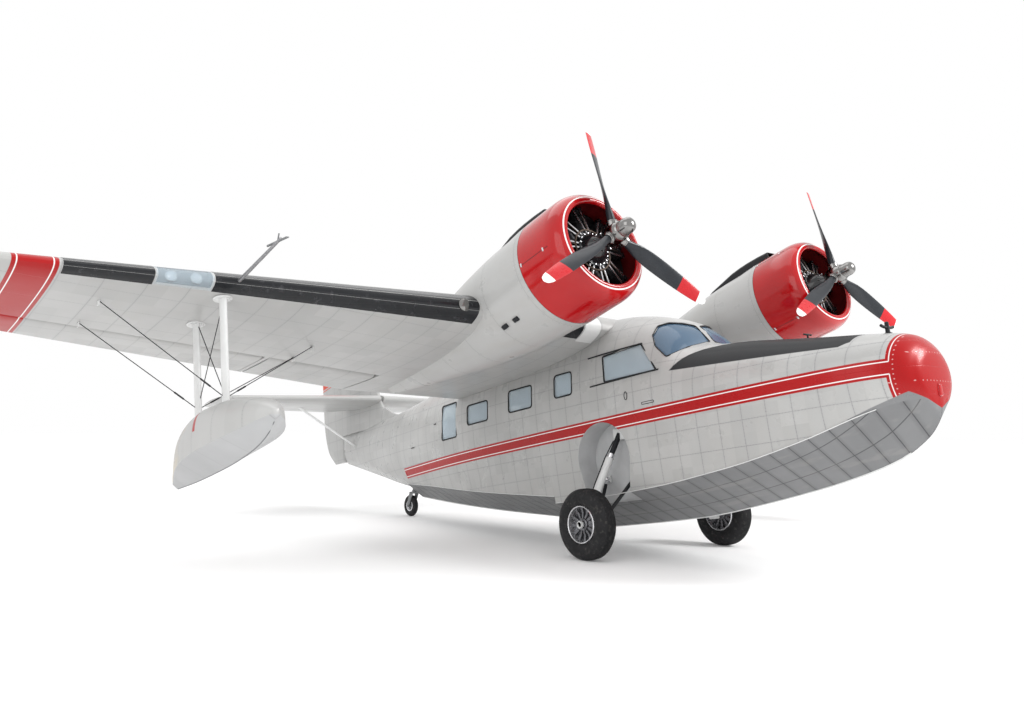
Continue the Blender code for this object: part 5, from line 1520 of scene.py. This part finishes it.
def fin_outline(z):
    back = RUDDER_Y - 0.055 - 0.008
    front = eased(FIN_FRONT, z)[1]
    full = (back - front) / 0.62
    squeeze = 1.0 if z < 3.95 else max(math.sqrt(max(1 - ((z - 3.95) / 0.35) ** 2, 0.0)), 0.10)
    ts = [0.62 * (1 - math.cos(math.pi / 2 * i / 12)) for i in range(1, 13)]
    half = [(front + t * full, (half_thickness(t, 0.15 * 0.62) * full + 0.003) * squeeze) for t in ts]
    return [(x, y, z) for y, x in half[::-1]] + [(0.0, front, z)] + [(-x, y, z) for y, x in half]


def make_tail():
    rings = [[(x, y, z) for x, z in section(eased(TAIL, y))] for y in spaced((5.001, 7.32), 0.12)]
    row = TAIL[-1]
    middle = (row[1] + row[6]) / 2
    for share, y in ((0.93, 7.332), (0.75, 7.338), (0.4, 7.34)):
        rings.append([(x * share, y, middle + (z - middle) * share) for x, z in section(row)])
    cone = carved(tinted(loft(rings), 0), bar((0, FORK_Y, 0.70), (0, FORK_Y, 0.965), 0.027, 24))
    piece("tail_cone", cone, CARVED, stands_for=("hull_tail",))
    fin = loft([fin_outline(z) for z in spaced((1.96, 2.4, 3.9, 4.2, 4.30), 0.07)])
    fillet = []
    for y in spaced((5.30, 5.95), 0.065):
        share = (y - 5.30) / 0.65
        crown = eased(TAIL, y)[6]
        top = crown - 0.02 + 0.24 * share ** 2
        width = 0.015 + 0.03 * share
        half = [(width * 2.2, crown - 0.06), (width, crown + 0.3 * (top - crown)), (width * 0.5, top - 0.008)]
        fillet.append([(x, y, z) for x, z in half] + [(0, y, top)] + [(-x, y, z) for x, z in half[::-1]])
    piece("fin", group(fin, loft(fillet)), (tail_skin,))
    rings = []
    for z in spaced((1.50, 3.9, 4.2, 4.30), 0.08)[:-1] + [4.285, 4.30]:
        _, chord, radius = eased(RUDDER, z)
        outline = round_nose(RUDDER_Y, radius) + [(RUDDER_Y + chord, -0.004), (RUDDER_Y + chord, 0.004)]
        rings.append([(x, y, z) for y, x in outline])
    piece("rudder_skin", loft(rings), (tail_skin,), "rudder", ("rudder",))


def stab_chord(a):
    return 1.62 + (0.98 - 1.62) * min(a / 2.75, 1.0)


def stab_outline(side, a, scale=1.0):
    chord = stab_chord(a)
    edge = STAB_FRONT + a * STAB_SWEEP
    front = edge + (1 - scale) * 0.45 * chord
    hinge = edge + (STAB_HINGE - half_thickness(STAB_HINGE, STAB_THICKNESS)) * chord - 0.008
    ts = [(1 - math.cos(math.pi * i / 20)) / 2 for i in range(1, 21)]
    size = chord * scale
    half = [(front + t * size, half_thickness(t, STAB_THICKNESS) * size + 0.003) for t in ts]
    if a < 2.458:
        kept = [p for p in half if p[0] < hinge - 0.01]
        back = half_thickness((hinge - front) / size, STAB_THICKNESS) * size + 0.003
        last, count = Vector(kept[-1]), 20 - len(kept)
        half = kept + [tuple(last.lerp(Vector((hinge, back)), (i + 1) / count)) for i in range(count)]
    upper = [(side * a, y, STAB_Z + z) for y, z in half[::-1]]
    return upper + [(side * a, front, STAB_Z)] + [(side * a, y, STAB_Z - z) for y, z in half]


def make_tailplane(side, word):
    rings = [stab_outline(side, a) for a in spaced((0.03, 2.455), 0.3)]
    tips = []
    for a in (2.459, 2.52, 2.58, 2.64, 2.69, 2.725, 2.745):
        u = (a - 2.459) / 0.291
        tips.append(stab_outline(side, a, max(math.sqrt(max(1 - u ** 2.4, 0.0)), 0.18)))
    piece("stabilizer_" + word + "_skin", group(loft(rings), loft(tips)), (tail_skin,),
          stands_for=("stabilizer_" + word,))
    rings = []
    for a in spaced((0.22, 2.45), 0.3):
        chord = stab_chord(a)
        front = STAB_FRONT + a * STAB_SWEEP
        outline = round_nose(front + STAB_HINGE * chord, half_thickness(STAB_HINGE, STAB_THICKNESS) * chord)
        outline += [(front + chord, -0.003), (front + chord, 0.003)]
        rings.append([(side * a, y, STAB_Z + up) for y, up in outline])
    name = "elevator_" + word
    piece(name + "_skin", loft(rings), (tail_skin,), name, (name,))
    top, foot = Vector((side * 1.30, 6.72, 2.42)), Vector((side * 0.085, 6.85, 1.70))
    rings = [[point + Vector((0.017 * math.cos(a), 0.044 * math.sin(a), 0)) for a in angles(20)]
             for point in (top, foot)]
    shapes = [loft(rings), block(top - Vector((0.03, 0.06, 0.04)), top + Vector((0.03, 0.06, -0.012)), 0.006),
              block(foot - Vector((0.02, 0.055, 0.03)), foot + Vector((0.02, 0.055, 0.03)), 0.006)]
    piece("tail_strut_" + word + "_detail", group(*shapes), (pale_paint,),
          stands_for=("tail_strut_" + word,))


make_tail()
for side, word in SIDES:
    make_tailplane(side, word)


# Inside and small fittings

def cushion(low, high):
    """A plump pad: rounded all over, crowned in the middle and drawn in along its sides."""
    power, crown, waist = 6.0, 0.12, 0.05
    bm = bmesh.new()
    bmesh.ops.create_cube(bm, size=2.0)
    bmesh.ops.subdivide_edges(bm, edges=bm.edges[:], cuts=9, use_grid_fill=True)
    low, high = Vector(low), Vector(high)
    middle, half = (low + high) / 2, (high - low) / 2
    for vert in bm.verts:
        x, y, z = vert.co
        reach = max(abs(x), abs(y), abs(z))
        norm = (abs(x) ** power + abs(y) ** power + abs(z) ** power) ** (1 / power)
        x, y, z = (value * reach / norm for value in (x, y, z))
        thin = 1.0 - crown * (1 - (1 - x * x) * (1 - y * y))
        pull = 1.0 - waist * (1 - min(abs(x * y), 1.0)) * (1 - z * z)
        vert.co = middle + Vector((x * half.x * pull, y * half.y * pull, z * half.z * thin))
    return bm


def make_seat(x, y, floor):
    legs = []
    for dx in (-0.13, 0.13):
        for dy in (-0.12, 0.12):
            legs.append(bar((x + dx, y + dy, floor + 0.05), (x + dx * 0.9, y + dy, floor + 0.26), 0.011, 12))
        legs.append(bar((x + dx, y - 0.13, floor + 0.06), (x + dx, y + 0.14, floor + 0.06), 0.011, 12))
    seat = cushion((x - 0.19, y - 0.21, floor + 0.252), (x + 0.19, y + 0.22, floor + 0.375))
    tilt = Matrix.Translation((x, y + 0.195, floor + 0.38)) @ Matrix.Rotation(math.radians(-11.5), 4, "X")
    back = moved(cushion((-0.17, -0.052, -0.05), (0.17, 0.052, 0.53)), tilt)
    return legs, [seat, back]


def make_cabin():
    floor = FLOOR_Z + 0.0313
    for side, word in SIDES:
        for name, places, x in (("crew_seat_", (-0.30,), side * 0.25),
                                ("cabin_seats_", (0.95, 1.80, 2.60), side * 0.34)):
            start, end = places[0] - 0.16, places[-1] + 0.20
            rails, pads = [block((x - 0.035, start, floor), (x + 0.035, end, floor + 0.05), 0.006)], []
            for y in places:
                legs, cushions = make_seat(x, y, floor)
                rails += legs
                pads += cushions
            pad = piece(name + word + "_cushions", group(*pads), (leather,),
                        stands_for=(name + word,), crease=80)
            piece(name + word + "_frames", group(*rails), (dull_metal,))
    shapes = []
    for side, _ in SIDES:
        x = side * 0.25
        wheel = [(x + 0.13 * math.cos(a), -0.72, 1.52 + 0.13 * math.sin(a)) for a in angles(24)]
        shapes.append(pipe(wheel, 0.010, 10, True, 1.0, (0, 1, 0)))
        shapes.append(bar((x, -0.72, 1.52), (x, -0.94, 1.50), 0.014, 16))
        shapes.append(bar((x - 0.12, -0.72, 1.52), (x + 0.12, -0.72, 1.52), 0.009, 12))
        for z in (1.40, 1.54):
            for column in range(4):
                dial = lathe([(0.0, 0.0), (0.042, 0.0), (0.050, 0.006), (0.050, 0.012), (0.0, 0.012)], 24)
                shapes.append(moved(dial, Matrix.Translation((side * (0.08 + 0.13 * column), -0.932, z))))
    piece("cockpit_controls", group(*shapes), (black_trim,))


CLEAT_Y, DECK_CLEAT_Y = -3.205, -2.33


def make_fittings():
    base = on_wing(-5.0, 0.10, 0.0)
    tip = base + Vector((0, -0.98, 0.155))
    head = [tip + Vector((0, y, z)) for y, z in ((0.265, 0.010), (-0.105, -0.024), (-0.149, -0.0345))]
    shapes = [(bar(base.lerp(tip, 0.04), tip, 0.0195, 20, 0.0135), 1),
              (bar(head[0], head[1], 0.0105, 20), 0),
              (bar(head[1], head[2], 0.0105, 20, 0.005), 0),
              (bar(tip + Vector((0, 0.06, 0.0)), tip + Vector((0, 0.03, 0.055)), 0.0065, 12), 0)]
    piece("pitot_mast_detail", group(*shapes), (fork_grey, dull_metal),
          stands_for=("pitot_mast",))
    crown = hull_row(CLEAT_Y)[6]
    post = lathe([(0.0, 0.0), (0.045, 0.0), (0.040, 0.012), (0.022, 0.022), (0.020, 0.12), (0.0, 0.13)], 24)
    post = moved(post, Matrix.Translation((0, CLEAT_Y, crown - 0.006)) @ Matrix.Rotation(math.pi / 2, 4, "X"))
    path = ((-0.11, 1.612), (-0.08, 1.603), (-0.03, 1.598), (0.03, 1.598), (0.08, 1.603), (0.11, 1.612))
    horns = pipe([(x, CLEAT_Y, z) for x, z in path], 0.0145, 16)
    piece("bow_cleat_detail", group(post, horns), (black_trim,), stands_for=("bow_cleat",))
    crown = hull_row(DECK_CLEAT_Y)[6]
    stem = bar((0, DECK_CLEAT_Y, crown - 0.01), (0, DECK_CLEAT_Y, crown + 0.045), 0.010, 16)
    arms = bar((-0.065, DECK_CLEAT_Y, crown + 0.045), (0.065, DECK_CLEAT_Y, crown + 0.045), 0.009, 16)
    piece("deck_cleat", group(stem, arms), (black_trim,))
    bumper = block((-0.035, -3.632, 0.86), (0.035, -3.56, 0.98), 0.016, 3)
    piece("stem_bumper", bumper, (cowl_red,))


make_cabin()
make_fittings()
for name, paint in (("cabin_floor", floor_grey), ("instrument_panel", black_trim)):
    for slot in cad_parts[name].material_slots:
        slot.material = paint


# Studio

def make_studio():
    bm = bmesh.new()
    bmesh.ops.create_grid(bm, x_segments=2, y_segments=2, size=120.0)
    mesh = bpy.data.meshes.new("floor")
    bm.to_mesh(mesh)
    bm.free()
    floor = bpy.data.objects.new("studio_floor", mesh)
    paint = bpy.data.materials.new("studio floor")
    paint.use_nodes = True
    shader = paint.node_tree.nodes["Principled BSDF"]
    shader.inputs["Base Color"].default_value = (0.94, 0.94, 0.94, 1.0)
    shader.inputs["Roughness"].default_value = 0.9
    shader.inputs["Specular IOR Level"].default_value = 0.1
    shader.inputs["Emission Color"].default_value = (1.0, 1.0, 1.0, 1.0)
    shader.inputs["Emission Strength"].default_value = 0.07
    mesh.materials.append(paint)
    bpy.context.scene.collection.objects.link(floor)
    world = bpy.data.worlds.new("studio")
    world.use_nodes = True
    world.node_tree.nodes["Background"].inputs["Color"].default_value = (1.0, 1.0, 1.0, 1.0)
    world.node_tree.nodes["Background"].inputs["Strength"].default_value = 1.0
    bpy.context.scene.world = world
    for name, place, aim, size, power in (
            ("key", (8.0, -14.0, 11.0), (0, 0, 1.5), 5.0, 1900.0),
            ("fill", (-13.0, -6.0, 7.0), (0, 0, 1.5), 9.0, 350.0),
            ("top", (0.0, 2.0, 14.0), (0, 0, 0), 12.0, 500.0)):
        data = bpy.data.lights.new(name, "AREA")
        data.shape = "SQUARE"
        data.size = size
        data.energy = power
        lamp = bpy.data.objects.new(name, data)
        lamp.location = place
        lamp.rotation_euler = (Vector(aim) - Vector(place)).to_track_quat("-Z", "Y").to_euler()
        bpy.context.scene.collection.objects.link(lamp)
    bpy.context.scene.view_settings.view_transform = "Standard"


def make_camera():
    yaw, climb, roll = 0.6766, 0.0693, 0.0092
    ahead = Vector((math.sin(yaw) * math.cos(climb), math.cos(yaw) * math.cos(climb), math.sin(climb)))
    right = ahead.cross(Vector((0, 0, 1))).normalized()
    top = right.cross(ahead)
    across = right * math.cos(roll) + top * math.sin(roll)
    up = top * math.cos(roll) - right * math.sin(roll)
    data = bpy.data.cameras.new("camera")
    data.sensor_width = 36.0
    data.lens = 33.75
    data.clip_end = 500.0
    camera = bpy.data.objects.new("camera", data)
    turn = Matrix((across, up, -ahead)).transposed().to_4x4()
    camera.matrix_world = Matrix.Translation((-8.550, -10.349949, 1.4805)) @ turn
    bpy.context.scene.collection.objects.link(camera)
    bpy.context.scene.camera = camera


make_studio()
make_camera()
